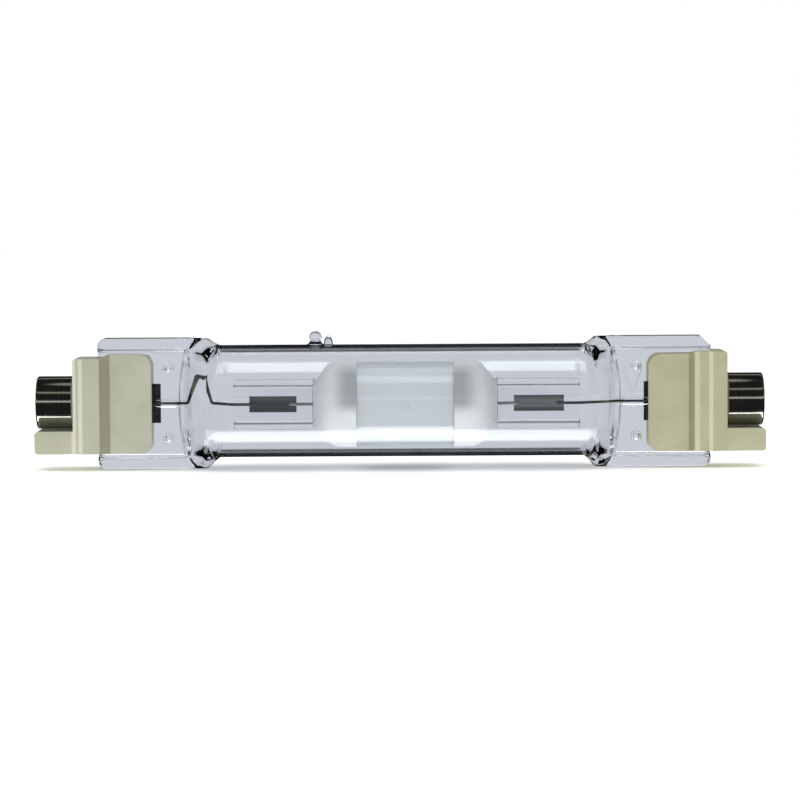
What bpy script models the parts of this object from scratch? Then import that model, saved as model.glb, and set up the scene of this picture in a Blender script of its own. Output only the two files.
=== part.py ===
"""Double-ended metal halide lamp: a quartz burner sealed in a pressed quartz tube with ceramic caps.

X runs along the lamp, Z is up and Y is its depth. The lamp stands on the narrow edges of its two
press seals, at Z = 0. Sizes are in metres.
"""
import bpy
import bmesh
from math import cos, pi, radians, sin, sqrt, tan
from mathutils import Vector

MM = 0.001
LEFT = -1
RIGHT = 1
SIDE_NAMES = {LEFT: "left", RIGHT: "right"}

# Clearances between pieces that touch on the real lamp
SEAL_GAP = 0.10 * MM
WELD_GAP = 0.03 * MM
COAT_GAP = 0.10 * MM
CAP_GAP = 0.05 * MM
SEAT_GAP = 0.10 * MM
BOOLEAN_OVERRUN = 1.0 * MM
MERGE_DISTANCE = 0.001 * MM

# Whole lamp, tip of shelf to tip of shelf; places along it are shares of this length
LAMP_LENGTH = 163.0 * MM

# Outer tube
BULB_DIAMETER = 25.2 * MM
BULB_WALL = 1.3 * MM
TUBE_LEFT_END = -0.2454 * LAMP_LENGTH
TUBE_RIGHT_END = 0.2515 * LAMP_LENGTH
SHOULDER_LENGTH = 0.0528 * LAMP_LENGTH
SHOULDER_GLASS = 1.5 * MM
SHOULDER_BOW = 2.0 * MM
SHOULDER_SPREAD_RATE = 2.1
SQUEEZE_START = 2 / 7
RIM_START = 0.72

# Press seals of the outer tube
PRESS_LEFT_END = -0.4147 * LAMP_LENGTH
PRESS_RIGHT_END = 0.4264 * LAMP_LENGTH
PRESS_HEIGHT = 29.4 * MM
PRESS_DEPTH = 6.0 * MM
PRESS_WEB = 2.8 * MM
PRESS_RIM = 2.6 * MM
PRESS_DROP = 0.45 * MM
PRESS_CORNER = 0.7 * MM
PRESS_END_RADIUS = 1.8 * MM
PRESS_CHAMFER = 2.3 * MM
RIM_SLOPE = 0.2
DIMPLE_RADIUS = 1.1 * MM
DIMPLE_DEPTH = 0.3 * MM
DIMPLE_SPACING = 15.8 * MM
DIMPLE_SETBACK = 3.4 * MM

# Exhaust tip on top of the outer tube
TIP_X = -0.116 * LAMP_LENGTH
TIP_HEIGHT = 3.0 * MM
TIP_BASE_RADIUS = 2.6 * MM
TIP_NOSE_RADIUS = 1.3 * MM
TIP_NOSE_FOOT = 10
TIP_WAIST_RADIUS = 1.5 * MM
TIP_WAIST_HEIGHT = 1.05 * MM
TIP_SINK = 0.13 * MM
TIP_BEAD_OFFSET = 2.9 * MM
TIP_BEAD_RADIUS = 1.4 * MM
TIP_BEAD_HEIGHT = 2.0 * MM

# Arc tube
BURNER_X = 0.0071 * LAMP_LENGTH
BURNER_DROP = 0.8 * MM
BURNER_DIAMETER = 0.75 * BULB_DIAMETER
BURNER_WALL = 1.3 * MM
BURNER_STRAIGHT = 0.1767 * LAMP_LENGTH
BURNER_DOME = 0.0393 * LAMP_LENGTH
BURNER_NECK_GLASS = 1.8 * MM
BURNER_TIP_RADIUS = 1.1 * MM
BURNER_TIP_HEIGHT = 0.9 * MM

# Press seals of the arc tube
STUB_LEFT_LENGTH = 0.1083 * LAMP_LENGTH
STUB_RIGHT_LENGTH = 0.1126 * LAMP_LENGTH
STUB_HEIGHT = 11.2 * MM
STUB_DEPTH = 4.4 * MM
STUB_WEB = 2.5 * MM
STUB_RIM = 1.4 * MM
STUB_CORNER = 0.35 * MM
STUB_END_RADIUS = 0.4 * MM
PRESS_BLEND_START = 0.35
STEEPEST = 0.3

# White coats on the arc tube's ends
COAT_THICKNESS = 0.12 * MM
WINDOW_LENGTH = 0.1337 * LAMP_LENGTH
COAT_END_STEP = 6

# Electrodes
ARC_LENGTH = 0.1656 * LAMP_LENGTH
ROD_DIAMETER = 0.7 * MM
COIL_WIRE_DIAMETER = 0.45 * MM
COIL_PITCH = 1.12 * COIL_WIRE_DIAMETER
COIL_TURNS = 7
COIL_SETBACK = 1.2 * MM
COIL_STEPS = 8

# Dose
BEAD_RADIUS = 0.62 * MM
BEAD_INSET = 1.6 * MM
BEAD_FLATNESS = 0.85

# Molybdenum foils, wires and rods
FOIL_THICKNESS = 0.12 * MM
FOIL_EDGE = 0.03 * MM
FOIL_FEATHER = 0.5 * MM
ARC_FOIL_WIDTH = 3.6 * MM
ARC_FOIL_LEFT_LENGTH = 0.0644 * LAMP_LENGTH
ARC_FOIL_RIGHT_LENGTH = 0.0684 * LAMP_LENGTH
ARC_FOIL_SETBACK = 0.0227 * LAMP_LENGTH
SEAL_FOIL_WIDTH = 8.8 * MM
SEAL_FOIL_LENGTH = 0.0675 * LAMP_LENGTH
SEAL_FOIL_LEFT_START = -0.3294 * LAMP_LENGTH
SEAL_FOIL_RIGHT_START = 0.3356 * LAMP_LENGTH
WELD_LAP = 1.6 * MM
LEAD_DIAMETER = 0.66 * MM
TERMINAL_DIAMETER = 0.8 * MM

# Strain-relief bend in the left lead
BEND_FOOT_INNER = -0.2589 * LAMP_LENGTH
BEND_PEAK_X = -0.2742 * LAMP_LENGTH
BEND_PEAK_RISE = 6.4 * MM
BEND_FOOT_OUTER = -0.2896 * LAMP_LENGTH
BEND_RADIUS = 0.9 * MM

# Ceramic caps
CAP_BOTTOM = 10.9 * MM
JAW_TOPS = {LEFT: 11.3 * MM, RIGHT: 10.7 * MM}
BLOCK_TOPS = {LEFT: 10.3 * MM, RIGHT: 11.3 * MM}
CAP_DEPTH = 14.0 * MM
CAP_FACE = 0.4472 * LAMP_LENGTH
CAP_STEP = 0.4098 * LAMP_LENGTH
CAP_JAW_TIP = 0.3411 * LAMP_LENGTH
JAW_DEPTH = 10.4 * MM
STEP_FILLET = 1.8 * MM
CAP_BEVEL_LENGTH = 1.9 * MM
CAP_BEVEL_DEPTH = 0.5 * MM
JAW_TOP_RADIUS = 2.9 * MM
JAW_BOTTOM_RADIUS = 1.8 * MM
CAP_TOP_RADIUS = 0.6 * MM
SHELF_TOP = 6.3 * MM
SHELF_TIP_RADIUS = 0.8 * MM
CAP_EDGE = 0.25 * MM
CEMENT_THICKNESS = 0.4 * MM
CEMENT_MARGIN = 0.6 * MM
SLOT_END_ROOM = 0.5 * MM

# Contacts
CONTACT_DIAMETER = 11.8 * MM
CONTACT_SETBACK = 0.2 * MM
CONTACT_RISE = 0.35 * MM
CONTACT_CHAMFER = 0.45 * MM
CONTACT_STEM_DIAMETER = 5.0 * MM
CONTACT_STEM_LENGTH = 1.9 * MM
CONTACT_DISH_DIAMETER = 3.4 * MM
CONTACT_DISH_DEPTH = 0.8 * MM
TERMINAL_STUB = 0.3 * MM

# Facets, and the angles in degrees above which an edge counts as sharp
QUADRANT_STEPS = 10
SHOULDER_STEPS = 7
DOME_STEPS = 7
CORNER_STEPS = 4
TURNED_STEPS = 32
SMALL_STEPS = 16
SHADED_EDGE = 32
BEVELLED_EDGE = 40

# Values that follow from the sizes above
HALF_LENGTH = LAMP_LENGTH / 2
BULB_RADIUS = BULB_DIAMETER / 2
BORE_RADIUS = BULB_RADIUS - BULB_WALL
SHOULDER_REACH = SHOULDER_LENGTH + SHOULDER_GLASS
BURNER_RADIUS = BURNER_DIAMETER / 2
ROD_RADIUS = ROD_DIAMETER / 2
LEAD_RADIUS = LEAD_DIAMETER / 2
TERMINAL_RADIUS = TERMINAL_DIAMETER / 2
AXIS_HEIGHT = PRESS_HEIGHT / 2 + PRESS_DROP
CONTACT_Z = CONTACT_RISE - PRESS_DROP
BURNER_NECK = BURNER_STRAIGHT / 2 + BURNER_DOME
STUB_LENGTHS = {LEFT: STUB_LEFT_LENGTH, RIGHT: STUB_RIGHT_LENGTH}
ARC_FOIL_LENGTHS = {LEFT: ARC_FOIL_LEFT_LENGTH, RIGHT: ARC_FOIL_RIGHT_LENGTH}
TUBE_ENDS = {LEFT: TUBE_LEFT_END, RIGHT: TUBE_RIGHT_END}
PRESS_ENDS = {LEFT: PRESS_LEFT_END, RIGHT: PRESS_RIGHT_END}
SEAL_FOIL_STARTS = {LEFT: SEAL_FOIL_LEFT_START, RIGHT: SEAL_FOIL_RIGHT_START}
SLOT_WIDTH = PRESS_WEB + 2 * CEMENT_THICKNESS
ARC_FOIL_Y = ROD_RADIUS + WELD_GAP + FOIL_THICKNESS / 2
SEAL_FOIL_Y = TERMINAL_RADIUS + WELD_GAP + FOIL_THICKNESS / 2
LEAD_LAP = LEAD_RADIUS + WELD_GAP + FOIL_THICKNESS / 2


class Press:
    """The I-shaped section of a press seal: a thin web between two thick rims."""

    def __init__(self, height, depth, web, rim, corner):
        self.half_height = height / 2
        self.half_depth = depth / 2
        self.half_web = web / 2
        self.rim = rim
        self.corner = corner

    def quadrant(self, trim=0.0):
        """Points (y, z) from the top of the section to its side; a trim cuts the rim back."""
        top = self.half_height - trim
        slope = min(self.rim * RIM_SLOPE, abs(self.half_depth - self.half_web) / 2)
        foot = self.half_height - self.rim - slope
        shelf = self.half_height - self.rim + slope
        corner = min(self.corner, (top - shelf) / 2)
        bend = corner * (1 - sqrt(0.5))
        middle = (self.half_depth + self.half_web) / 2
        return [
            (0.0, top),
            (self.half_depth - corner, top),
            (self.half_depth - bend, top - bend),
            (self.half_depth, top - corner),
            (self.half_depth, shelf),
            (middle, self.half_height - self.rim),
            (self.half_web, foot),
            (self.half_web, foot * 3 / 4),
            (self.half_web, foot / 2),
            (self.half_web, foot / 4),
            (self.half_web, 0.0),
        ]


OUTER_PRESS = Press(PRESS_HEIGHT, PRESS_DEPTH, PRESS_WEB, PRESS_RIM, PRESS_CORNER)
STUB_PRESS = Press(STUB_HEIGHT, STUB_DEPTH, STUB_WEB, STUB_RIM, STUB_CORNER)


def clear_scene():
    for obj in list(bpy.data.objects):
        bpy.data.objects.remove(obj, do_unlink=True)
    for collection in list(bpy.data.collections):
        bpy.data.collections.remove(collection)


def new_collection(name):
    collection = bpy.data.collections.new(name)
    bpy.context.scene.collection.children.link(collection)
    return collection


clear_scene()
LAMP = new_collection("metal_halide_lamp")
CUTTERS = new_collection("cutters")
AXIS = bpy.data.objects.new("lamp_axis", None)
AXIS.location = (0.0, 0.0, AXIS_HEIGHT)
LAMP.objects.link(AXIS)


def make_material(name, colour, roughness, metallic=0.0, transmission=0.0, ior=1.45):
    material = bpy.data.materials.new(name)
    material.use_nodes = True
    shader = material.node_tree.nodes["Principled BSDF"]
    shader.inputs["Base Color"].default_value = (*colour, 1.0)
    shader.inputs["Roughness"].default_value = roughness
    shader.inputs["Metallic"].default_value = metallic
    shader.inputs["Transmission Weight"].default_value = transmission
    shader.inputs["IOR"].default_value = ior
    material.diffuse_color = (*colour, 1.0)
    return material


QUARTZ = make_material("clear_quartz", (0.93, 0.94, 0.96), 0.02, 0.0, 1.0, 1.46)
BURNER_QUARTZ = make_material("burner_quartz", (0.90, 0.93, 0.92), 0.03, 0.0, 1.0, 1.46)
COATING = make_material("white_zirconia_coat", (0.70, 0.71, 0.72), 0.85)
CERAMIC = make_material("cream_steatite", (0.56, 0.52, 0.38), 0.45)
CEMENT = make_material("cap_cement", (0.52, 0.50, 0.45), 0.95)
NICKEL = make_material("nickel_plate", (0.66, 0.65, 0.60), 0.14, 1.0)
MOLYBDENUM = make_material("molybdenum", (0.20, 0.20, 0.20), 0.35, 1.0)
TUNGSTEN = make_material("tungsten", (0.30, 0.29, 0.28), 0.40, 1.0)
MERCURY = make_material("mercury", (0.80, 0.80, 0.82), 0.05, 1.0)


def place(obj, collection, material=None, location=(0.0, 0.0, 0.0), rotation=(0.0, 0.0, 0.0)):
    """Link an object, set it on the lamp's axis and give it its material."""
    collection.objects.link(obj)
    obj.parent = AXIS
    obj.location = location
    obj.rotation_euler = rotation
    if material is not None:
        obj.data.materials.clear()
        obj.data.materials.append(material)
    if collection is CUTTERS:
        obj.hide_render = True
        obj.display_type = "WIRE"
    return obj


def mesh_object(name, bm):
    bmesh.ops.recalc_face_normals(bm, faces=bm.faces)
    mesh = bpy.data.meshes.new(name)
    bm.to_mesh(mesh)
    bm.free()
    return bpy.data.objects.new(name, mesh)


def smooth(obj):
    obj.data.shade_smooth()
    obj.data.set_sharp_from_angle(angle=radians(SHADED_EDGE))


def boolean(obj, cutter, operation="DIFFERENCE"):
    modifier = obj.modifiers.new(cutter.name, "BOOLEAN")
    modifier.operation = operation
    modifier.solver = "EXACT"
    modifier.object = cutter


def outline_solid(name, points, thickness):
    """A closed 2D outline of straight runs, thickened evenly to both sides of its plane."""
    curve = bpy.data.curves.new(name, "CURVE")
    curve.dimensions = "2D"
    curve.fill_mode = "BOTH"
    curve.extrude = thickness / 2
    spline = curve.splines.new("POLY")
    spline.points.add(len(points) - 1)
    for point, (a, b) in zip(spline.points, points):
        point.co = (a, b, 0.0, 1.0)
    spline.use_cyclic_u = True
    return bpy.data.objects.new(name, curve)


def as_mesh(obj):
    """Turn an unplaced curve into a welded mesh object that Boolean modifiers can use."""
    name = obj.name
    LAMP.objects.link(obj)
    bpy.context.view_layer.update()
    graph = bpy.context.evaluated_depsgraph_get()
    mesh = bpy.data.meshes.new_from_object(obj.evaluated_get(graph))
    bm = bmesh.new()
    bm.from_mesh(mesh)
    bmesh.ops.remove_doubles(bm, verts=bm.verts, dist=MERGE_DISTANCE)
    bmesh.ops.recalc_face_normals(bm, faces=bm.faces)
    bm.to_mesh(mesh)
    bm.free()
    bpy.data.objects.remove(obj, do_unlink=True)
    return bpy.data.objects.new(name, mesh)


def wire(name, points, radius, material):
    """A round wire through the points, with closed ends."""
    curve = bpy.data.curves.new(name, "CURVE")
    curve.dimensions = "3D"
    curve.bevel_depth = radius
    curve.bevel_resolution = 2
    curve.use_fill_caps = True
    spline = curve.splines.new("POLY")
    spline.points.add(len(points) - 1)
    for point, place_on_path in zip(spline.points, points):
        point.co = (*place_on_path, 1.0)
    return place(bpy.data.objects.new(name, curve), LAMP, material)


def box_cutter(name, size, centre):
    bm = bmesh.new()
    bmesh.ops.create_cube(bm, size=1.0)
    bmesh.ops.scale(bm, vec=size, verts=bm.verts)
    return place(mesh_object(name, bm), CUTTERS, None, centre)


def cylinder_along_x(name, radius, start, end, y, z, steps=SMALL_STEPS):
    bm = bmesh.new()
    bmesh.ops.create_cone(
        bm, cap_ends=True, segments=steps, radius1=radius, radius2=radius, depth=abs(end - start))
    centre = ((start + end) / 2, y, z)
    return place(mesh_object(name, bm), CUTTERS, None, centre, (0.0, pi / 2, 0.0))


def turned(name, profile, collection, material=None, location=(0.0, 0.0, 0.0),
           rotation=(0.0, 0.0, 0.0), steps=TURNED_STEPS):
    """Revolve a profile of (radius, height) points, listed from its top to its foot."""
    bm = bmesh.new()
    points = [bm.verts.new((radius, 0.0, height)) for radius, height in profile]
    for first, second in zip(points, points[1:]):
        bm.edges.new((first, second))
    mesh = bpy.data.meshes.new(name)
    bm.to_mesh(mesh)
    bm.free()
    obj = place(bpy.data.objects.new(name, mesh), collection, material, location, rotation)
    screw = obj.modifiers.new("turn", "SCREW")
    screw.axis = "Z"
    screw.angle = 2 * pi
    screw.steps = steps
    screw.render_steps = steps
    screw.use_merge_vertices = True
    screw.merge_threshold = MERGE_DISTANCE
    screw.use_smooth_shade = True
    return obj


def arc(centre, radius, start, end, steps=CORNER_STEPS):
    """Points on an arc, with its angles in degrees."""
    angles = [radians(start + (end - start) * step / steps) for step in range(steps + 1)]
    return [(centre[0] + radius * cos(a), centre[1] + radius * sin(a)) for a in angles]


def mirrored(points, side):
    """Flip an outline drawn for the right end to the side it is for."""
    return [(side * a, b) for a, b in points]


def ease(t):
    return t * t * (3 - 2 * t)


def circle_quadrant(radius):
    angles = [radians(90.0 * step / QUADRANT_STEPS) for step in range(QUADRANT_STEPS + 1)]
    return [(radius * sin(a), radius * cos(a)) for a in angles]


def ring(x, upper, lower, drop=0.0, bow=0.0):
    """A closed ring at x from one upper and one lower quadrant, mirrored to both sides in Y."""
    right = upper[:-1] + [(y, -z) for y, z in reversed(lower)]
    left = [(-y, z) for y, z in reversed(right[1:-1])]
    top = max(z for y, z in upper)
    return [Vector((x - bow * (z / top) ** 2, y, z - drop)) for y, z in right + left]


def blend_quadrant(round_one, pressed, squeeze, spread):
    """A section between the round tube and the press: squeezed in depth, spread in height."""
    return [
        (y0 + (y1 - y0) * squeeze, z0 + (z1 - z0) * spread)
        for (y0, z0), (y1, z1) in zip(round_one, pressed)]


def skin(bm, rings):
    """Join rings of equal point counts by bands of faces, and return their vertices.

    Each band is split into triangles the same way, so that skins offset from each other stay clear.
    """
    loops = [[bm.verts.new(point) for point in one_ring] for one_ring in rings]
    count = len(rings[0])
    for first, second in zip(loops, loops[1:]):
        for index in range(count):
            after = (index + 1) % count
            bm.faces.new((first[index], first[after], second[after]))
            bm.faces.new((first[index], second[after], second[index]))
    return loops


def loft(name, rings, collection, material=None, bowed_ends=False):
    """A closed solid through rings; a bowed end is closed by strips across its width."""
    bm = bmesh.new()
    loops = skin(bm, rings)
    for end in (loops[0], loops[-1]):
        if not bowed_ends:
            bm.faces.new(end)
            continue
        count = len(end)
        bm.faces.new((end[0], end[1], end[-1]))
        for index in range(1, count // 2 - 1):
            bm.faces.new((end[index], end[index + 1], end[count - index - 1], end[count - index]))
        bm.faces.new((end[count // 2 - 1], end[count // 2], end[count // 2 + 1]))
    return place(mesh_object(name, bm), collection, material)


def loft_shell(name, outer, inner, collection, material):
    """An open-ended sleeve between two sets of rings."""
    bm = bmesh.new()
    skins = (skin(bm, outer), skin(bm, inner))
    count = len(outer[0])
    for end in (0, -1):
        for index in range(count):
            after = (index + 1) % count
            bm.faces.new((skins[0][end][index], skins[0][end][after],
                          skins[1][end][after], skins[1][end][index]))
    return place(mesh_object(name, bm), collection, material)


def shoulder_ring(side, t, depth, heights, inset=0.0, rims=False):
    """A ring of the shoulder: a circle that grows taller as it is squeezed, then gets the press's rims."""
    grown_by = ease(min(1.0, t * SHOULDER_SPREAD_RATE))
    height = heights[0] + (heights[1] - heights[0]) * grown_by
    section = [(depth * y, height * z) for y, z in circle_quadrant(1.0)]
    if rims:
        mix = ease(max(0.0, t - RIM_START) / (1 - RIM_START))
        pressed = Press(PRESS_HEIGHT, PRESS_DEPTH, 2 * depth, PRESS_RIM, PRESS_CORNER).quadrant()
        section = blend_quadrant(section, pressed, mix, mix)
    x = TUBE_ENDS[side] + side * (SHOULDER_REACH * t - inset)
    return ring(x, section, section, PRESS_DROP * grown_by, side * SHOULDER_BOW * t)


def shoulder_turns():
    """Steps along the shoulder from 0 to 1, each with how far its curve has come round."""
    steps = [step / SHOULDER_STEPS for step in range(SHOULDER_STEPS + 1)]
    return [(t, max(0.0, t - SQUEEZE_START) / (1 - SQUEEZE_START) * pi / 2) for t in steps]


def shoulder_rings(side):
    """Rings from the straight tube to where it is pressed flat, on its outside."""
    drop = BULB_RADIUS - PRESS_WEB / 2
    return [shoulder_ring(side, t, PRESS_WEB / 2 + drop * cos(turn), (BULB_RADIUS, PRESS_HEIGHT / 2), rims=True)
            for t, turn in shoulder_turns()]


def bore_rings(side):
    """Rings along the bore inside the shoulder, an even wall off the outside."""
    drop = BULB_RADIUS - PRESS_WEB / 2
    heights = (BORE_RADIUS, PRESS_HEIGHT / 2 - PRESS_RIM)
    rings = []
    for t, turn in shoulder_turns():
        fall = Vector((SHOULDER_REACH * (1 - SQUEEZE_START), -drop * sin(turn) * pi / 2)).normalized()
        depth = PRESS_WEB / 2 + drop * cos(turn) - BULB_WALL * fall.x
        rings.append(shoulder_ring(side, t, depth, heights, -BULB_WALL * fall.y))
    return rings


def press_rings(side):
    """Rings along the pressed end, where the rims round off towards their ends."""
    end = PRESS_ENDS[side]
    rings = []
    for step in range(CORNER_STEPS + 1):
        angle = pi / 2 * step / CORNER_STEPS
        trim = PRESS_END_RADIUS * (1 - cos(angle))
        back = PRESS_END_RADIUS * (1 - sin(angle))
        section = OUTER_PRESS.quadrant(trim)
        rings.append(ring(end - side * back, section, section, PRESS_DROP))
    return rings


def make_envelope():
    """The outer tube with its press seals, its exhaust tip and the slots that hold the foils."""
    outside = (
        list(reversed(press_rings(LEFT)))
        + list(reversed(shoulder_rings(LEFT)))
        + shoulder_rings(RIGHT)
        + press_rings(RIGHT))
    envelope = loft("outer_envelope", outside, LAMP, QUARTZ)
    bore = list(reversed(bore_rings(LEFT))) + bore_rings(RIGHT)
    for bump in exhaust_tip():
        boolean(envelope, bump, "UNION")
    boolean(envelope, loft("bore", bore, CUTTERS, bowed_ends=True))
    for side in (LEFT, RIGHT):
        for cutter in seal_cutters(side):
            boolean(envelope, cutter)
    boolean(envelope, chamfer_cutter())
    smooth(envelope)


def chamfer_cutter():
    """The block that takes off the upper outer corner of the right press seal."""
    width = 2 * PRESS_CHAMFER
    bm = bmesh.new()
    bmesh.ops.create_cube(bm, size=width)
    bmesh.ops.scale(bm, vec=(1.0, 2 * PRESS_DEPTH / width, 1.0), verts=bm.verts)
    corner = (PRESS_RIGHT_END + PRESS_CHAMFER * (sqrt(0.5) - 0.5), 0.0,
              PRESS_HEIGHT / 2 - PRESS_DROP + PRESS_CHAMFER * (sqrt(0.5) - 0.5))
    return place(mesh_object("rim_chamfer", bm), CUTTERS, None, corner, (0.0, pi / 4, 0.0))


def exhaust_tip():
    """The melted nose of the exhaust tube and the small bead beside it."""
    root = BULB_RADIUS - BULB_WALL / 2
    top = BULB_RADIUS + TIP_HEIGHT
    nose = arc((0.0, top - TIP_NOSE_RADIUS), TIP_NOSE_RADIUS, 90, TIP_NOSE_FOOT)
    nose[0] = (0.0, top)
    profile = nose + [(TIP_WAIST_RADIUS, BULB_RADIUS + TIP_WAIST_HEIGHT),
                      (TIP_BASE_RADIUS, BULB_RADIUS - TIP_SINK), (TIP_BASE_RADIUS, root), (0.0, root)]
    tip = turned("exhaust_tip", profile, CUTTERS, None, (TIP_X, 0.0, 0.0), steps=SMALL_STEPS)
    bead_top = BULB_RADIUS + TIP_BEAD_HEIGHT
    dome = [(TIP_BEAD_RADIUS * sin(a), root + (bead_top - root) * cos(a))
            for a in (pi / 2 * step / CORNER_STEPS for step in range(CORNER_STEPS + 1))]
    bead = turned("exhaust_bead", dome + [(0.0, root)], CUTTERS, None,
                  (TIP_X + TIP_BEAD_OFFSET, 0.0, 0.0), steps=SMALL_STEPS)
    return [tip, bead]


def seal_cutters(side):
    """The foil slot, wire channel, rod channel and pressed dimples of one outer press."""
    name = SIDE_NAMES[side]
    foil_start = SEAL_FOIL_STARTS[side]
    foil_end = foil_start + side * SEAL_FOIL_LENGTH
    press_end = PRESS_ENDS[side]
    bore_end = TUBE_ENDS[side] + side * SHOULDER_LENGTH
    length = SEAL_FOIL_LENGTH + 2 * SEAL_GAP
    thickness = FOIL_THICKNESS + 2 * SEAL_GAP
    slot = box_cutter(f"foil_slot_{name}", (length, thickness, SEAL_FOIL_WIDTH + 2 * SEAL_GAP),
                      ((foil_start + foil_end) / 2, SEAL_FOIL_Y, -PRESS_DROP))
    lead = cylinder_along_x(
        f"lead_channel_{name}", LEAD_RADIUS + SEAL_GAP, bore_end - side * BOOLEAN_OVERRUN,
        foil_start + side * (WELD_LAP + SEAL_GAP), SEAL_FOIL_Y - LEAD_LAP, -PRESS_DROP)
    rod = cylinder_along_x(
        f"rod_channel_{name}", TERMINAL_RADIUS + SEAL_GAP, foil_end - side * (WELD_LAP + SEAL_GAP),
        press_end + side * BOOLEAN_OVERRUN, 0.0, CONTACT_Z)
    cutters = [slot, lead, rod]
    dimple_x = bore_end + side * DIMPLE_SETBACK
    for row in (-1, 1):
        for face in (-1, 1):
            bm = bmesh.new()
            bmesh.ops.create_cone(bm, cap_ends=True, segments=SMALL_STEPS, radius1=DIMPLE_RADIUS,
                                  radius2=DIMPLE_RADIUS, depth=2 * DIMPLE_DEPTH)
            dimple = mesh_object(f"dimple_{name}", bm)
            centre = (dimple_x, face * PRESS_WEB / 2, row * DIMPLE_SPACING / 2 - PRESS_DROP)
            cutters.append(place(dimple, CUTTERS, None, centre, (pi / 2, 0.0, 0.0)))
    return cutters


def dome_ring(side, angle_share, grow=0.0):
    """One ring of the arc tube's domed end, which turns into its press as it narrows.

    A skin that is grown off it keeps the same rings, and grows more where the dome is steep.
    """
    angle = angle_share * pi / 2
    x = BURNER_X + side * (BURNER_STRAIGHT / 2 + BURNER_DOME * sin(angle))
    mix = ease(max(0.0, (angle_share - PRESS_BLEND_START) / (1 - PRESS_BLEND_START)))
    section = blend_quadrant(circle_quadrant(BURNER_RADIUS * cos(angle)), STUB_PRESS.quadrant(), mix, mix)
    section = grown(section, grow / max(cos(angle), STEEPEST))
    return ring(x, section, section, BURNER_DROP)


def grown(section, distance):
    """A section's quadrant with each point moved square off its surface."""
    over_the_top = (-section[1][0], section[1][1])
    below_the_side = (section[-2][0], -section[-2][1])
    row = [over_the_top] + section + [below_the_side]
    points = []
    for before, (y, z), after in zip(row, section, row[2:]):
        run = Vector(after) - Vector(before)
        step = distance / run.length
        points.append((y - run.y * step, z + run.x * step))
    return points


def dome_shares():
    """How far round its quarter turn each ring of the dome lies, from 0 to 1."""
    return [step / DOME_STEPS for step in range(DOME_STEPS + 1)]


def dome_rings(side):
    return [dome_ring(side, share) for share in dome_shares()]


def stub_rings(side):
    """Rings along one press seal of the arc tube, to its slightly rounded end."""
    end = BURNER_X + side * (BURNER_NECK + STUB_LENGTHS[side])
    full = STUB_PRESS.quadrant()
    trimmed = STUB_PRESS.quadrant(STUB_END_RADIUS)
    return [
        ring(end - side * STUB_END_RADIUS, full, full, BURNER_DROP),
        ring(end, trimmed, trimmed, BURNER_DROP)]


def make_arc_tube():
    """The burner: a domed chamber with a press seal at each end."""
    outside = (
        list(reversed(stub_rings(LEFT)))
        + list(reversed(dome_rings(LEFT)))
        + dome_rings(RIGHT)
        + stub_rings(RIGHT))
    arc_tube = loft("arc_tube", outside, LAMP, BURNER_QUARTZ)
    boolean(arc_tube, burner_tip(), "UNION")
    boolean(arc_tube, chamber_cutter())
    for side in (LEFT, RIGHT):
        for cutter in stub_cutters(side):
            boolean(arc_tube, cutter)
    smooth(arc_tube)


def burner_tip():
    """The small sealed nose at the front of the burner's window."""
    base = BURNER_RADIUS - BURNER_WALL / 2
    top = BURNER_RADIUS + BURNER_TIP_HEIGHT
    profile = [(BURNER_TIP_RADIUS * sin(a), base + (top - base) * cos(a))
               for a in (pi / 2 * step / CORNER_STEPS for step in range(CORNER_STEPS + 1))]
    return turned("burner_tip", profile + [(0.0, base)], CUTTERS, None,
                  (BURNER_X, 0.0, -BURNER_DROP), (pi / 2, 0.0, 0.0), steps=SMALL_STEPS)


def chamber_profile():
    """The chamber's half outline, from its right pole to its left one."""
    radius = BURNER_RADIUS - BURNER_WALL
    dome = BURNER_DOME - BURNER_NECK_GLASS
    quarter = [pi / 2 * step / DOME_STEPS for step in range(DOME_STEPS + 1)]
    right = [(radius * sin(a), BURNER_STRAIGHT / 2 + dome * cos(a)) for a in quarter]
    left = [(r, -h) for r, h in reversed(right)]
    return right + left


def chamber_cutter():
    return turned("chamber", chamber_profile(), CUTTERS, None,
                  (BURNER_X, 0.0, -BURNER_DROP), (0.0, pi / 2, 0.0))


def arc_foil_span(side):
    """Where one arc foil starts, near the chamber, and where it ends."""
    start = BURNER_X + side * (BURNER_NECK + ARC_FOIL_SETBACK)
    return start, start + side * ARC_FOIL_LENGTHS[side]


def stub_cutters(side):
    """The foil slot and the channels of the rod and the lead in one press of the arc tube."""
    name = SIDE_NAMES[side]
    start, end = arc_foil_span(side)
    stub_end = BURNER_X + side * (BURNER_NECK + STUB_LENGTHS[side])
    chamber_end = BURNER_X + side * (BURNER_STRAIGHT / 2 + BURNER_DOME - BURNER_NECK_GLASS)
    size = (abs(end - start) + 2 * SEAL_GAP, FOIL_THICKNESS + 2 * SEAL_GAP,
            ARC_FOIL_WIDTH + 2 * SEAL_GAP)
    slot = box_cutter(f"arc_foil_slot_{name}", size, ((start + end) / 2, ARC_FOIL_Y, -BURNER_DROP))
    rod = cylinder_along_x(
        f"electrode_channel_{name}", ROD_RADIUS + SEAL_GAP, chamber_end - side * BOOLEAN_OVERRUN,
        start + side * (WELD_LAP + SEAL_GAP), 0.0, -BURNER_DROP)
    lead = cylinder_along_x(
        f"arc_lead_channel_{name}", LEAD_RADIUS + SEAL_GAP, end - side * (WELD_LAP + SEAL_GAP),
        stub_end + side * BOOLEAN_OVERRUN, ARC_FOIL_Y - LEAD_LAP, -BURNER_DROP)
    return [slot, rod, lead]


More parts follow.
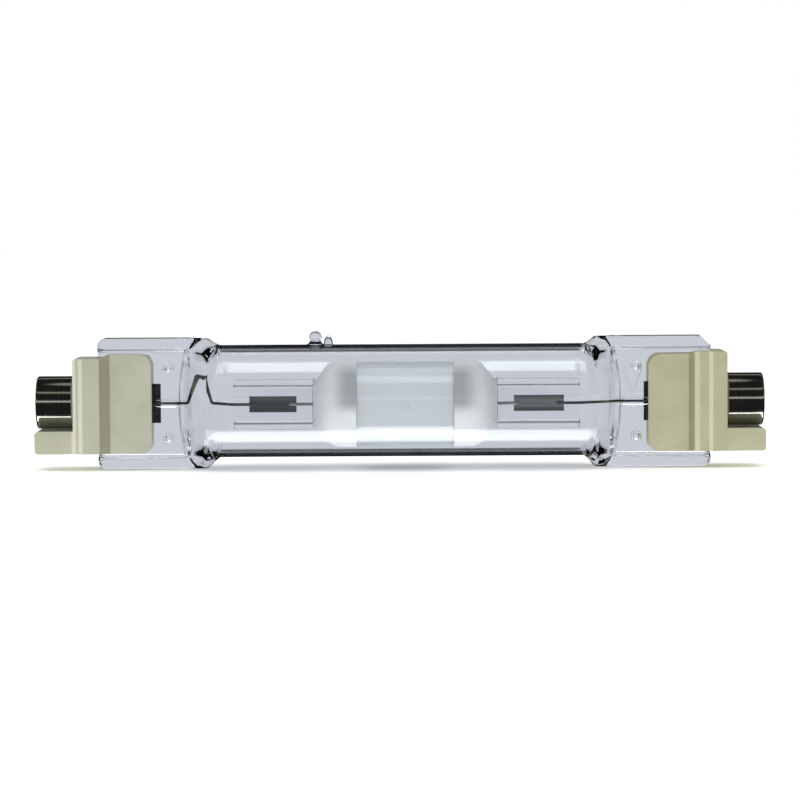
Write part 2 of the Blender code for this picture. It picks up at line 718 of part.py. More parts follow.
def make_end_coating(side):
    """The baked white coat from the window's edge to the neck of the arc tube."""
    edge = WINDOW_LENGTH / 2
    shares = dome_shares()[:COAT_END_STEP + 1]
    skins = []
    for grow in (COAT_GAP + COAT_THICKNESS, COAT_GAP):
        round_one = circle_quadrant(BURNER_RADIUS + grow)
        first = ring(BURNER_X + side * edge, round_one, round_one, BURNER_DROP)
        skins.append([first] + [dome_ring(side, share, grow) for share in shares])
    coat = loft_shell(f"end_coating_{SIDE_NAMES[side]}", skins[0], skins[1], LAMP, COATING)
    smooth(coat)


def make_foil(name, start, length, width, side, y, z):
    """A molybdenum foil with edges feathered so that the quartz seals round them."""
    half = width / 2
    middle = FOIL_THICKNESS / 2
    edge = FOIL_EDGE / 2
    section = [(-half, -edge), (-half + FOIL_FEATHER, -middle), (half - FOIL_FEATHER, -middle),
               (half, -edge), (half, edge), (half - FOIL_FEATHER, middle),
               (-half + FOIL_FEATHER, middle), (-half, edge)]
    foil = as_mesh(outline_solid(name, section, length))
    place(foil, LAMP, MOLYBDENUM, (start + side * length / 2, y, z), (0.0, pi / 2, 0.0))


def make_electrode(side):
    """A tungsten rod from its foil to the arc, with the coil wound behind its tip."""
    name = SIDE_NAMES[side]
    start, _ = arc_foil_span(side)
    tip = BURNER_X + side * ARC_LENGTH / 2
    inner_end = start + side * WELD_LAP
    wire(f"electrode_rod_{name}", [(inner_end, 0.0, -BURNER_DROP), (tip, 0.0, -BURNER_DROP)],
         ROD_RADIUS, TUNGSTEN)
    radius = ROD_RADIUS + WELD_GAP + COIL_WIRE_DIAMETER / 2
    coil_start = tip + side * COIL_SETBACK
    points = []
    for step in range(COIL_TURNS * COIL_STEPS + 1):
        angle = 2 * pi * step / COIL_STEPS
        x = coil_start + side * COIL_PITCH * step / COIL_STEPS
        points.append((x, radius * cos(angle), radius * sin(angle) - BURNER_DROP))
    wire(f"electrode_coil_{name}", points, COIL_WIRE_DIAMETER / 2, TUNGSTEN)


def rounded_path(corners, radius):
    """A path through the corners, with each bend turned on a small arc."""
    path = [Vector(corners[0])]
    for before, corner, after in zip(corners, corners[1:], corners[2:]):
        corner = Vector(corner)
        back = Vector(before) - corner
        on = Vector(after) - corner
        room = min(back.length, on.length) / 2
        reach = min(room, radius / tan(back.angle(on) / 2))
        start = corner + back.normalized() * reach
        end = corner + on.normalized() * reach
        for step in range(CORNER_STEPS + 1):
            t = step / CORNER_STEPS
            path.append(start * (1 - t) ** 2 + corner * 2 * t * (1 - t) + end * t ** 2)
    path.append(Vector(corners[-1]))
    return path


def make_leads():
    """The two molybdenum leads between the burner and the outer foils."""
    arc_y = ARC_FOIL_Y - LEAD_LAP
    seal_y = SEAL_FOIL_Y - LEAD_LAP
    for side in (LEFT, RIGHT):
        _, foil_end = arc_foil_span(side)
        stub_end = BURNER_X + side * (BURNER_NECK + STUB_LENGTHS[side])
        bore_end = TUBE_ENDS[side] + side * SHOULDER_LENGTH
        corners = [
            (foil_end - side * WELD_LAP, arc_y, -BURNER_DROP),
            (stub_end + side * LEAD_DIAMETER, arc_y, -BURNER_DROP)]
        if side == LEFT:
            corners += [
                (BEND_FOOT_INNER, (arc_y + seal_y) / 2, -PRESS_DROP),
                (BEND_PEAK_X, (arc_y + seal_y) / 2, BEND_PEAK_RISE - PRESS_DROP),
                (BEND_FOOT_OUTER, seal_y, -PRESS_DROP)]
        else:
            corners.append((bore_end - side * LEAD_DIAMETER * 2, seal_y, -PRESS_DROP))
        corners.append((SEAL_FOIL_STARTS[side] + side * WELD_LAP, seal_y, -PRESS_DROP))
        radius = BEND_RADIUS if side == LEFT else BEND_RADIUS / 2
        wire(f"lead_wire_{SIDE_NAMES[side]}", rounded_path(corners, radius), LEAD_RADIUS, MOLYBDENUM)


def make_terminal(side):
    """The rod that carries the current from the outer foil to the contact."""
    foil_end = SEAL_FOIL_STARTS[side] + side * SEAL_FOIL_LENGTH
    start = foil_end - side * WELD_LAP
    floor = side * (HALF_LENGTH - CONTACT_SETBACK - CONTACT_DISH_DEPTH)
    end = floor + side * TERMINAL_STUB
    wire(f"terminal_lead_{SIDE_NAMES[side]}", [(start, 0.0, CONTACT_Z), (end, 0.0, CONTACT_Z)],
         TERMINAL_RADIUS, MOLYBDENUM)


def cap_plan(side):
    """The cap seen from above: the jaws' width, the step up to the block, its slope to the end."""
    half = CAP_DEPTH / 2
    jaw = JAW_DEPTH / 2
    points = [(CAP_JAW_TIP, jaw)]
    points += arc((CAP_STEP - STEP_FILLET, jaw + STEP_FILLET), STEP_FILLET, -90, 0)
    points += [(CAP_STEP, half), (CAP_FACE - CAP_BEVEL_LENGTH, half)]
    points += [(CAP_FACE, half - CAP_BEVEL_DEPTH), (HALF_LENGTH, half - CAP_BEVEL_DEPTH)]
    points += [(x, -y) for x, y in reversed(points)]
    return mirrored(points, side)


def cap_elevation(side):
    """The cap seen from the front: rounded corners, and the shelf under the contact."""
    jaw_top = JAW_TOPS[side]
    block_top = BLOCK_TOPS[side]
    bottom = -CAP_BOTTOM
    shelf = -SHELF_TOP + PRESS_DROP
    points = arc((CAP_JAW_TIP + JAW_TOP_RADIUS, jaw_top - JAW_TOP_RADIUS), JAW_TOP_RADIUS, 180, 90)
    points += [(CAP_STEP - STEP_FILLET, jaw_top), (CAP_STEP, block_top)]
    points += arc((CAP_FACE - CAP_TOP_RADIUS, block_top - CAP_TOP_RADIUS), CAP_TOP_RADIUS, 90, 0)
    points += [(CAP_FACE, shelf)]
    points += arc((HALF_LENGTH - SHELF_TIP_RADIUS, shelf - SHELF_TIP_RADIUS), SHELF_TIP_RADIUS, 90, 0)
    points += arc((HALF_LENGTH - SHELF_TIP_RADIUS, bottom + SHELF_TIP_RADIUS), SHELF_TIP_RADIUS, 0, -90)
    points += arc((CAP_JAW_TIP + JAW_BOTTOM_RADIUS, bottom + JAW_BOTTOM_RADIUS), JAW_BOTTOM_RADIUS,
                  270, 180)
    return mirrored(points, side)


def make_cap(side):
    """The steatite cap: plan and elevation crossed, edges softened, then slotted and bored."""
    name = SIDE_NAMES[side]
    centre = (0.0, 0.0, -PRESS_DROP)
    plan = as_mesh(outline_solid(f"cap_plan_{name}", cap_plan(side), PRESS_HEIGHT))
    place(plan, CUTTERS, None, centre)
    cap = as_mesh(outline_solid(
        f"ceramic_cap_{name}", cap_elevation(side), CAP_DEPTH + 2 * BOOLEAN_OVERRUN))
    place(cap, LAMP, CERAMIC, centre, (pi / 2, 0.0, 0.0))
    boolean(cap, plan, "INTERSECT")
    bevel = cap.modifiers.new("soft_edges", "BEVEL")
    bevel.width = CAP_EDGE
    bevel.segments = 1
    bevel.limit_method = "ANGLE"
    bevel.angle_limit = radians(BEVELLED_EDGE)
    slot_end = PRESS_ENDS[side] + side * SLOT_END_ROOM
    slot_start = side * (CAP_JAW_TIP - BOOLEAN_OVERRUN)
    size = (abs(slot_end - slot_start), SLOT_WIDTH, PRESS_HEIGHT)
    slot = box_cutter(f"cap_slot_{name}", size, ((slot_start + slot_end) / 2, 0.0, -PRESS_DROP))
    face = side * CAP_FACE
    seat = cylinder_along_x(
        f"stem_bore_{name}", CONTACT_STEM_DIAMETER / 2 + CAP_GAP, face + side * BOOLEAN_OVERRUN,
        face - side * (CONTACT_STEM_LENGTH + SEAT_GAP), 0.0, CONTACT_Z, TURNED_STEPS)
    bore = cylinder_along_x(
        f"rod_bore_{name}", TERMINAL_RADIUS + SEAL_GAP, face, PRESS_ENDS[side], 0.0, CONTACT_Z)
    for cutter in (slot, seat, bore):
        boolean(cap, cutter)
    smooth(cap)


def make_cement(side):
    """The cement that fills the cap's slot round the web of the press."""
    name = SIDE_NAMES[side]
    web = PRESS_WEB / 2 + CAP_GAP
    slot = SLOT_WIDTH / 2 - CAP_GAP
    press_end = abs(PRESS_ENDS[side]) + CAP_GAP
    slot_end = abs(PRESS_ENDS[side]) + SLOT_END_ROOM - CAP_GAP
    start = CAP_JAW_TIP + CEMENT_MARGIN
    outline = [(start, web), (start, slot), (slot_end, slot), (slot_end, -slot), (start, -slot),
               (start, -web), (press_end, -web), (press_end, web)]
    height = 2 * (CAP_BOTTOM - JAW_TOP_RADIUS)
    cement = as_mesh(outline_solid(f"cap_cement_{name}", mirrored(outline, side), height))
    place(cement, LAMP, CEMENT, (0.0, 0.0, -PRESS_DROP))
    hole = cylinder_along_x(
        f"cement_hole_{name}", TERMINAL_RADIUS + SEAL_GAP, PRESS_ENDS[side] - side * BOOLEAN_OVERRUN,
        side * slot_end + side * BOOLEAN_OVERRUN, 0.0, CONTACT_Z)
    boolean(cement, hole)


def make_contact(side):
    """The turned contact: a barrel with a stem in the cap and a dish where the rod is welded."""
    end = HALF_LENGTH - CONTACT_SETBACK
    seat = CAP_FACE + SEAT_GAP
    stem_end = CAP_FACE - CONTACT_STEM_LENGTH
    radius = CONTACT_DIAMETER / 2
    stem = CONTACT_STEM_DIAMETER / 2
    bore = TERMINAL_RADIUS + WELD_GAP
    dish = CONTACT_DISH_DIAMETER / 2
    bend = CONTACT_CHAMFER * (1 - sqrt(0.5))
    profile = [
        (bore, end - CONTACT_DISH_DEPTH),
        (dish - CONTACT_DISH_DEPTH, end - CONTACT_DISH_DEPTH),
        (dish, end),
        (radius - CONTACT_CHAMFER, end),
        (radius - bend, end - bend),
        (radius, end - CONTACT_CHAMFER),
        (radius, seat + CONTACT_CHAMFER),
        (radius - CONTACT_CHAMFER, seat),
        (stem, seat),
        (stem, stem_end),
        (bore, stem_end),
        (bore, end - CONTACT_DISH_DEPTH),
    ]
    turned(f"contact_{SIDE_NAMES[side]}", profile, LAMP, NICKEL,
           (0.0, 0.0, CONTACT_Z), (0.0, side * pi / 2, 0.0))


def make_mercury_bead():
    """The bead of mercury, slightly flattened where it lies on the chamber's wall."""
    half_height = BEAD_RADIUS * BEAD_FLATNESS
    profile = [(BEAD_RADIUS * sin(a), half_height * cos(a))
               for a in (pi * step / DOME_STEPS for step in range(DOME_STEPS + 1))]
    floor = -BURNER_DROP - BURNER_RADIUS + BURNER_WALL
    x = BURNER_X + BURNER_STRAIGHT / 2 - BEAD_INSET
    turned("mercury_bead", profile, LAMP, MERCURY,
           (x, 0.0, floor + half_height + SEAT_GAP), steps=SMALL_STEPS)


make_envelope()
make_arc_tube()
make_leads()
make_mercury_bead()
for SIDE in (LEFT, RIGHT):
    SIDE_NAME = SIDE_NAMES[SIDE]
    make_end_coating(SIDE)
    make_electrode(SIDE)
    FOIL_START = arc_foil_span(SIDE)[0]
    make_foil(f"arc_foil_{SIDE_NAME}", FOIL_START, ARC_FOIL_LENGTHS[SIDE], ARC_FOIL_WIDTH, SIDE,
              ARC_FOIL_Y, -BURNER_DROP)
    make_foil(f"seal_foil_{SIDE_NAME}", SEAL_FOIL_STARTS[SIDE], SEAL_FOIL_LENGTH, SEAL_FOIL_WIDTH, SIDE,
              SEAL_FOIL_Y, -PRESS_DROP)
    make_terminal(SIDE)
    make_cap(SIDE)
    make_cement(SIDE)
    make_contact(SIDE)
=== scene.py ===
"""Looks of a double-ended metal halide lamp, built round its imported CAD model.

X runs along the lamp, Y goes back from the camera and Z is up, in metres. The quartz, coats, foils,
wires, caps and contacts are finer pieces that stand in for the CAD ones at the same places.
"""
import bpy
import bmesh
from math import cos, pi, radians, sin, sqrt, tan
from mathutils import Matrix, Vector


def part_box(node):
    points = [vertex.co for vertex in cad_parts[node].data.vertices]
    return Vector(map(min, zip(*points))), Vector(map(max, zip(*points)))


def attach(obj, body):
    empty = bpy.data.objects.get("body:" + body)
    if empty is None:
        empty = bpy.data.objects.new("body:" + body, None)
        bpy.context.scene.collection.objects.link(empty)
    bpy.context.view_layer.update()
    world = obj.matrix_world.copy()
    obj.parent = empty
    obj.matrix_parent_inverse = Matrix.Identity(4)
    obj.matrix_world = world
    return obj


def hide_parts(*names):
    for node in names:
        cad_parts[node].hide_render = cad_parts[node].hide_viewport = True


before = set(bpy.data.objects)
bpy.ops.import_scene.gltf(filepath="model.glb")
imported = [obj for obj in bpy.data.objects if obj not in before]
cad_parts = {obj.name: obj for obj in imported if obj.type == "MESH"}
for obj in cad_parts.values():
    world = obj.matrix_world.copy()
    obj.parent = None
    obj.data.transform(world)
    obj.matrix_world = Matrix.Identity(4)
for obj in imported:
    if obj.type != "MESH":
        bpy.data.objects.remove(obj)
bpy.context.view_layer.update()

MM = 0.001
LEFT = -1
RIGHT = 1
SIDE_NAMES = {LEFT: "left", RIGHT: "right"}
ALONG_X = Vector((1.0, 0.0, 0.0))
ALONG_Y = Vector((0.0, 1.0, 0.0))
ALONG_Z = Vector((0.0, 0.0, 1.0))


# Sizes read from the frame
def size_of(node):
    """How long, deep and high a node is."""
    low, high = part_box(node)
    return high - low


def centre_of(node):
    """The middle of a node's box."""
    low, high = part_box(node)
    return (low + high) / 2


def ends_of(node, side):
    """Where a node starts and ends along the lamp, seen from the lamp's middle."""
    low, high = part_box(node)
    return (low.x, high.x) if side == RIGHT else (high.x, low.x)


ENVELOPE_LOW, ENVELOPE_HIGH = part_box("outer_envelope")
BURNER_LOW, BURNER_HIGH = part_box("arc_tube")
BULB_RADIUS = (ENVELOPE_HIGH.y - ENVELOPE_LOW.y) / 2
BURNER_RADIUS = BURNER_HIGH.y
PRESS_ENDS = {LEFT: ENVELOPE_LOW.x, RIGHT: ENVELOPE_HIGH.x}
STUB_ENDS = {LEFT: BURNER_LOW.x, RIGHT: BURNER_HIGH.x}
WINDOW_LEFT = ends_of("end_coating_left", LEFT)[0]
WINDOW_RIGHT = ends_of("end_coating_right", RIGHT)[0]
BURNER_X = (WINDOW_LEFT + WINDOW_RIGHT) / 2
WINDOW_REACH = (WINDOW_RIGHT - WINDOW_LEFT) / 2
BURNER_Z = centre_of("arc_foil_left").z

# Sizes of the outer tube and its press seals
PRESS_DROP = 0.45 * MM
BURNER_DROP = 0.8 * MM
AXIS_Z = BURNER_Z + BURNER_DROP
SEAL_Z = AXIS_Z - PRESS_DROP
BULB_WALL = 0.8 * MM
TUBE_ENDS = {LEFT: -40.0 * MM, RIGHT: 41.0 * MM}
SHOULDER_LENGTH = 8.6 * MM
SHOULDER_REACHES = {LEFT: 9.6 * MM, RIGHT: 8.5 * MM}
BORE_EDGE_RADIUS = 0.35 * MM
BORE_THINNING = 0.25
SHOULDER_BOW = 2.0 * MM
SHOULDER_SPAN = (41.5 * MM, 49.0 * MM)
SHOULDER_SPREAD_RATE = 2.1
SQUEEZE_START = 2 / 7
RIM_START = 0.72
PRESS_HEIGHT = 2 * SEAL_Z
PRESS_RIM = 2.6 * MM
PRESS_END_RADIUS = 1.8 * MM
PRESS_CHAMFER = 2.3 * MM
DIMPLE_RADIUS = 1.2 * MM
DIMPLE_DEPTH = 0.6 * MM
DIMPLE_SPACING = 15.8 * MM
DIMPLE_SETBACK = 3.4 * MM
FUNNEL_LINES = ((50.3 * MM, 51.9 * MM), (53.9 * MM, 52.1 * MM))
FUNNEL_TOP = 6.5 * MM
FUNNEL_FOOT = 1.2 * MM
FUNNEL_LINE_RADIUS = 0.16 * MM
CAPILLARY_SETBACK = 0.3 * MM
CAPILLARY_LAP = 1.2 * MM
CAPILLARY_RADIUS = 0.95 * MM
CAPILLARY_BLUNTNESS = 0.2
CAPILLARY_FLATNESS = 0.6

# Sizes of the exhaust tip
TIP_X = -18.9 * MM
TIP_HEIGHT = 3.0 * MM
TIP_BASE_RADIUS = 2.6 * MM
TIP_NOSE_RADIUS = 1.4 * MM
TIP_NOSE_FOOT = -12
TIP_WAIST_RADIUS = 1.1 * MM
TIP_SINK = 0.15 * MM
TIP_BEAD_OFFSET = 2.9 * MM
TIP_BEAD_RADIUS = 1.1 * MM
TIP_BEAD_HEIGHT = 2.0 * MM

# Sizes of the arc tube
BURNER_WALL = 0.75 * MM
BURNER_HALF_STRAIGHT = 14.4 * MM
BURNER_DOME = 6.4 * MM
BURNER_NECK_GLASS = 1.8 * MM
BURNER_NECK = BURNER_HALF_STRAIGHT + BURNER_DOME
BURNER_TIP_RADIUS = 1.1 * MM
BURNER_TIP_HEIGHT = 0.9 * MM
PRESS_BLEND_START = 0.35
COAT_GAP = 0.10 * MM
COAT_THICKNESS = 0.12 * MM
COAT_END_SHARE = 6 / 7
COAT_LIP = 0.03 * MM
COAT_LIP_SHARE = 0.01
STEEPEST = 0.3

# Sections of the two kinds of press seal: half height, half depth, half web, rim and corner radius
OUTER_PRESS = (PRESS_HEIGHT / 2, 3.0 * MM, 1.4 * MM, PRESS_RIM, 0.7 * MM)
STUB_PRESS = (5.6 * MM, 2.2 * MM, 1.25 * MM, 1.4 * MM, 0.35 * MM)
STUB_END_RADIUS = 0.4 * MM
FOGGED_FACES = 1
PRESSED_FACES = 2
RIM_SLOPE = 0.2

# Sizes of the wires and foils
LEAD_RADIUS = 0.33 * MM
BEND_FOOT_INNER = -42.2 * MM
BEND_PEAK_X = -44.9 * MM
BEND_PEAK_RISE = 7.5 * MM
BEND_FOOT_OUTER = -47.3 * MM
BEND_RADIUS = 0.5 * MM
WELD_LAP = 1.6 * MM
FOIL_EDGE = 0.03 * MM
FOIL_RIPPLE = 0.05 * MM
FOIL_WAVES = ((19.0, 3.0), (7.0, 5.0))
FOIL_LENS_POWER = 6
WELD_DENT_DEPTH = 0.10 * MM
WELD_DENT_RADIUS = 0.7 * MM
COIL_WIRE_RADIUS = 0.22 * MM
COIL_TURNS = 7

# Sizes of the caps and contacts
CAP_FACE = 72.9 * MM
CAP_STEP = 66.8 * MM
JAW_DEPTH = 10.4 * MM
STEP_FILLET = 1.8 * MM
CAP_BEVEL_LENGTHS = {LEFT: 1.7 * MM, RIGHT: 2.9 * MM}
CAP_BEVEL_DEPTH = 0.5 * MM
JAW_TOPS = {LEFT: 11.3 * MM, RIGHT: 10.7 * MM}
BLOCK_TOPS = {LEFT: 10.3 * MM, RIGHT: 11.3 * MM}
JAW_TOP_RADIUS = 2.9 * MM
JAW_BOTTOM_RADIUS = 1.8 * MM
CAP_TOP_RADIUS = 0.6 * MM
SHELF_TIP_RADIUS = 0.8 * MM
SHELF_TOP = 6.3 * MM
CAP_EDGE = 0.28 * MM
# Where the caps' painted shade (creases) and painted highlights (ridges) lie along the lamp
CAP_CREASES = ((-66.8 * MM, -64.8 * MM), (64.5 * MM, 65.5 * MM))
CAP_RIDGES = ((-73.1 * MM, -72.3 * MM), (-71.5 * MM, -70.8 * MM),
              (65.9 * MM, 66.7 * MM), (68.9 * MM, 69.6 * MM))
SLOT_WIDTH = 3.6 * MM
SLOT_END_ROOM = 0.5 * MM
CONTACT_CHAMFER = 0.45 * MM
CONTACT_STEM_RADIUS = 2.5 * MM
CONTACT_SEAT_DEPTH = 2.0 * MM
CONTACT_SEAT_RADIUS = CONTACT_STEM_RADIUS * 1.02
CONTACT_CLEARANCE = 0.1 * MM
CONTACT_DISH_RADIUS = 1.7 * MM
CONTACT_DISH_DEPTH = 0.8 * MM
CONTACT_BORE_RADIUS = 0.43 * MM

# Facets
QUARTER_STEPS = 40
SHOULDER_STEPS = 42
DOME_STEPS = 26
ARC_STEPS = 10
CORNER_STEPS = 6
TURNED_STEPS = 128
SEAT_STEPS = 64
TIP_STEPS = 48
ROD_STEPS = 40
WIRE_STEPS = 16
COIL_STEPS = 24
DIMPLE_FACETS = (64, 48)
DROP_FACETS = (48, 32)
FOIL_GRID = (90, 36)
BEVEL_SEGMENTS = 3
BEVEL_ANGLE = 40
SHARP_EDGE = 38
CRISP_EDGE = 30
ROUNDED_EDGE = 60
MERGE_DISTANCE = 0.001 * MM
OVERRUN = 1.0 * MM

# Camera
FRAME_WIDTH = 179.6 * MM
CAMERA_ELEVATION = 3.5
CAMERA_ROLL = 0.32
CAMERA_LENS = 150.0
CAMERA_SENSOR = 36.0


# Node groups
def new_group(name, inputs, outputs):
    """A shader node group with its named sockets, its input node and its output node."""
    group = bpy.data.node_groups.new(name, "ShaderNodeTree")
    for socket_name, kind, value in inputs:
        socket = group.interface.new_socket(socket_name, in_out="INPUT", socket_type=kind)
        if value is not None:
            socket.default_value = value
    for socket_name, kind in outputs:
        group.interface.new_socket(socket_name, in_out="OUTPUT", socket_type=kind)
    return group, group.nodes.new("NodeGroupInput"), group.nodes.new("NodeGroupOutput")


def math_node(tree, operation, first, second=None):
    """A Math node; each input is a socket to link or a plain number."""
    node = tree.nodes.new("ShaderNodeMath")
    node.operation = operation
    for socket, value in zip(node.inputs, (first, second)):
        if hasattr(value, "links"):
            tree.links.new(value, socket)
        elif value is not None:
            socket.default_value = value
    return node.outputs[0]


def ranged(tree, value, low, high, to_low=0.0, to_high=1.0):
    """A value mapped smoothly from one range to another."""
    node = tree.nodes.new("ShaderNodeMapRange")
    node.interpolation_type = "SMOOTHSTEP"
    for name, number in (("From Min", low), ("From Max", high), ("To Min", to_low), ("To Max", to_high)):
        node.inputs[name].default_value = number
    tree.links.new(value, node.inputs["Value"])
    return node.outputs["Result"]


def mixed(tree, factor, first, second, blend="MIX"):
    """A colour between two colours; each is a socket to link or a plain RGB."""
    node = tree.nodes.new("ShaderNodeMix")
    node.data_type = "RGBA"
    node.blend_type = blend
    for socket, value in ((node.inputs[0], factor), (node.inputs[6], first), (node.inputs[7], second)):
        if hasattr(value, "links"):
            tree.links.new(value, socket)
        elif hasattr(value, "__len__"):
            socket.default_value = (*value, 1.0)
        else:
            socket.default_value = value
    return node.outputs[2]


def band(tree, value, low, high, fade):
    """A mask that is 1 between two values and fades out over a distance beyond each."""
    rise = ranged(tree, value, low - fade, low)
    fall = ranged(tree, value, high, high + fade, 1.0, 0.0)
    return math_node(tree, "MULTIPLY", rise, fall)


def along_bands(tree, value, spans, fade):
    """A mask that is 1 within any of the spans."""
    mask = band(tree, value, *spans[0], fade)
    for span in spans[1:]:
        mask = math_node(tree, "MAXIMUM", mask, band(tree, value, *span, fade))
    return mask


def product(tree, first, *others):
    """The product of masks and plain numbers."""
    for other in others:
        first = math_node(tree, "MULTIPLY", first, other)
    return first


def noise(tree, vector, scale, detail, roughness):
    """A Noise texture's value; its scale is a socket to link or a plain number."""
    node = tree.nodes.new("ShaderNodeTexNoise")
    node.inputs["Detail"].default_value = detail
    node.inputs["Roughness"].default_value = roughness
    tree.links.new(vector, node.inputs["Vector"])
    if hasattr(scale, "links"):
        tree.links.new(scale, node.inputs["Scale"])
    else:
        node.inputs["Scale"].default_value = scale
    return node.outputs["Fac"]


def make_grain_group():
    """Fired grain: a fine speckle, a broad mottle and a height for the bump."""
    group, source, result = new_group(
        "fired_grain",
        [("Vector", "NodeSocketVector", None), ("Grain Scale", "NodeSocketFloat", 3000.0),
         ("Mottle Scale", "NodeSocketFloat", 220.0)],
        [("Speckle", "NodeSocketFloat"), ("Mottle", "NodeSocketFloat"), ("Height", "NodeSocketFloat")])
    fine = noise(group, source.outputs["Vector"], source.outputs["Grain Scale"], 4.0, 0.65)
    broad = noise(group, source.outputs["Vector"], source.outputs["Mottle Scale"], 5.0, 0.6)
    group.links.new(ranged(group, fine, 0.52, 0.72), result.inputs["Speckle"])
    group.links.new(ranged(group, broad, 0.3, 0.7), result.inputs["Mottle"])
    height = math_node(group, "ADD", fine, math_node(group, "MULTIPLY", broad, 0.6))
    group.links.new(height, result.inputs["Height"])
    return group


def make_lines_group():
    """Drawn or turned lines: noise stretched out along one axis by the scale given for each."""
    group, source, result = new_group(
        "drawn_lines",
        [("Vector", "NodeSocketVector", None), ("Stretch", "NodeSocketVector", (1.0, 1.0, 1.0))],
        [("Mask", "NodeSocketFloat"), ("Height", "NodeSocketFloat")])
    scaled = group.nodes.new("ShaderNodeVectorMath")
    scaled.operation = "MULTIPLY"
    group.links.new(source.outputs["Vector"], scaled.inputs[0])
    group.links.new(source.outputs["Stretch"], scaled.inputs[1])
    lines = noise(group, scaled.outputs[0], 1.0, 4.0, 0.6)
    group.links.new(ranged(group, lines, 0.35, 0.65), result.inputs["Mask"])
    group.links.new(lines, result.inputs["Height"])
    return group


GRAIN = make_grain_group()
LINES = make_lines_group()


# Colours of the finishes, with their dust and their painted shade and highlights, and the shares and places
# of these
QUARTZ_IOR = 1.458
QUARTZ_STRETCH = (14.0, 500.0, 500.0)
QUARTZ_BUMP = (0.10, 0.02 * MM)
SHOULDER_FADE = 1.0 * MM
LIGHT_LET_THROUGH = (0.97, 0.975, 0.98)
TUBE_TINT = (0.965, 0.975, 0.985)
# The edge colours here and below are painted shade, for glass seen edge-on, in place of the dark surroundings
# it would show there
TUBE_EDGE_SHADE = (0.002, 0.0025, 0.003)
BURNER_TINT = (0.975, 0.985, 0.985)
FOGGED_TINT = (0.93, 0.965, 0.955)
FOGGED_CLEARNESS = 0.72
BURNER_EDGE_SHADE = (0.55, 0.58, 0.60)
PRESSED_EDGE_SHADE = (0.10, 0.11, 0.11)
DRAWN_EDGE = (0.585, 0.645)
PRESSED_EDGE = (0.25, 0.5)
CERAMIC_TONES = ((0.575, 0.575, 0.430), (0.640, 0.630, 0.475))
CERAMIC_SPECKLE = (0.46, 0.44, 0.29)
# Painted shade for the creases beside the caps' step
CERAMIC_CREASE_SHADE = (0.22, 0.21, 0.115)
# Painted highlight for the ridges of the caps' bevel and step
CERAMIC_RIDGE_HIGHLIGHT = (0.88, 0.85, 0.66)
CERAMIC_FIRINGS = ((0.905, 0.905, 0.945), (0.875, 0.86, 0.75))
SHELF_FIRING = (0.97, 0.965, 0.90)
SPECKLE_SHARE = 0.35
CREASE_SHADE_SHARE = 0.55
RIDGE_HIGHLIGHT_SHARE = 0.85
SHELF_SHARE = 0.5
CAP_SIDE = (4.6 * MM, 5.1 * MM)
CREASE_FADE = 0.25 * MM
RIDGE_FADE = 0.2 * MM
SHELF_FADE = 0.3 * MM
COAT_TONES = ((0.84, 0.85, 0.86), (0.91, 0.915, 0.92))
COAT_DUST = (0.72, 0.73, 0.75)
# Painted shade for the coats' upper part beside the window
COAT_UPPER_SHADE = (0.30, 0.31, 0.33)
COAT_THINNED = (0.47, 0.49, 0.53)
DUST_SHARE = 0.25
UPPER_SHADE_SHARE = 0.75
THINNED_SHARE = 0.75
UPPER_SHADE_REACH = (WINDOW_REACH + 1.5 * MM, WINDOW_REACH + 7.0 * MM)
UPPER_SHADE_HEIGHTS = (AXIS_Z + 0.5 * MM, AXIS_Z + 5.5 * MM)
UPPER_SHADE_FADE = 3.5 * MM
THINNED_REACH = (BURNER_HALF_STRAIGHT + 0.5 * MM, BURNER_HALF_STRAIGHT + BURNER_DOME)
CEMENT_TONES = ((0.50, 0.48, 0.40), (0.36, 0.34, 0.27))
ROLLED_STRETCH = (60.0, 900.0, 2600.0)
ETCHED_TONE = (0.24, 0.25, 0.255)
ETCHED_HALF_HEIGHT = 0.7 * MM
ETCHED_FADE = 0.5 * MM
MERCURY_TONES = ((0.78, 0.79, 0.81), (0.86, 0.87, 0.89))


# Materials
def new_material(name, roughness, metallic=0.0, transmission=0.0, ior=1.45):
    """A material with its Principled shader, and the node that gives Object coordinates."""
    material = bpy.data.materials.new(name)
    material.use_nodes = True
    tree = material.node_tree
    shader = tree.nodes["Principled BSDF"]
    shader.inputs["Roughness"].default_value = roughness
    shader.inputs["Metallic"].default_value = metallic
    shader.inputs["Transmission Weight"].default_value = transmission
    shader.inputs["IOR"].default_value = ior
    coordinates = tree.nodes.new("ShaderNodeTexCoord").outputs["Object"]
    return material, tree, shader, coordinates


def use_group(tree, group, coordinates, **values):
    """A node group placed in a material with its own values."""
    node = tree.nodes.new("ShaderNodeGroup")
    node.node_tree = group
    tree.links.new(coordinates, node.inputs["Vector"])
    for name, value in values.items():
        node.inputs[name.replace("_", " ")].default_value = value
    return node


def add_bump(tree, shader, height, strength, distance):
    """Let a height roughen a shader's surface."""
    bump = tree.nodes.new("ShaderNodeBump")
    bump.inputs["Strength"].default_value = strength
    bump.inputs["Distance"].default_value = distance
    tree.links.new(height, bump.inputs["Height"])
    tree.links.new(bump.outputs["Normal"], shader.inputs["Normal"])


def mixed_shader(tree, factor, first, second):
    """A shader between two shaders."""
    mix = tree.nodes.new("ShaderNodeMixShader")
    for socket, source in zip(mix.inputs, (factor, first, second)):
        tree.links.new(source, socket)
    return mix.outputs[0]


def axis_of(tree, coordinates, axis):
    """How far a point lies along one axis."""
    split = tree.nodes.new("ShaderNodeSeparateXYZ")
    tree.links.new(coordinates, split.inputs[0])
    return split.outputs[axis]


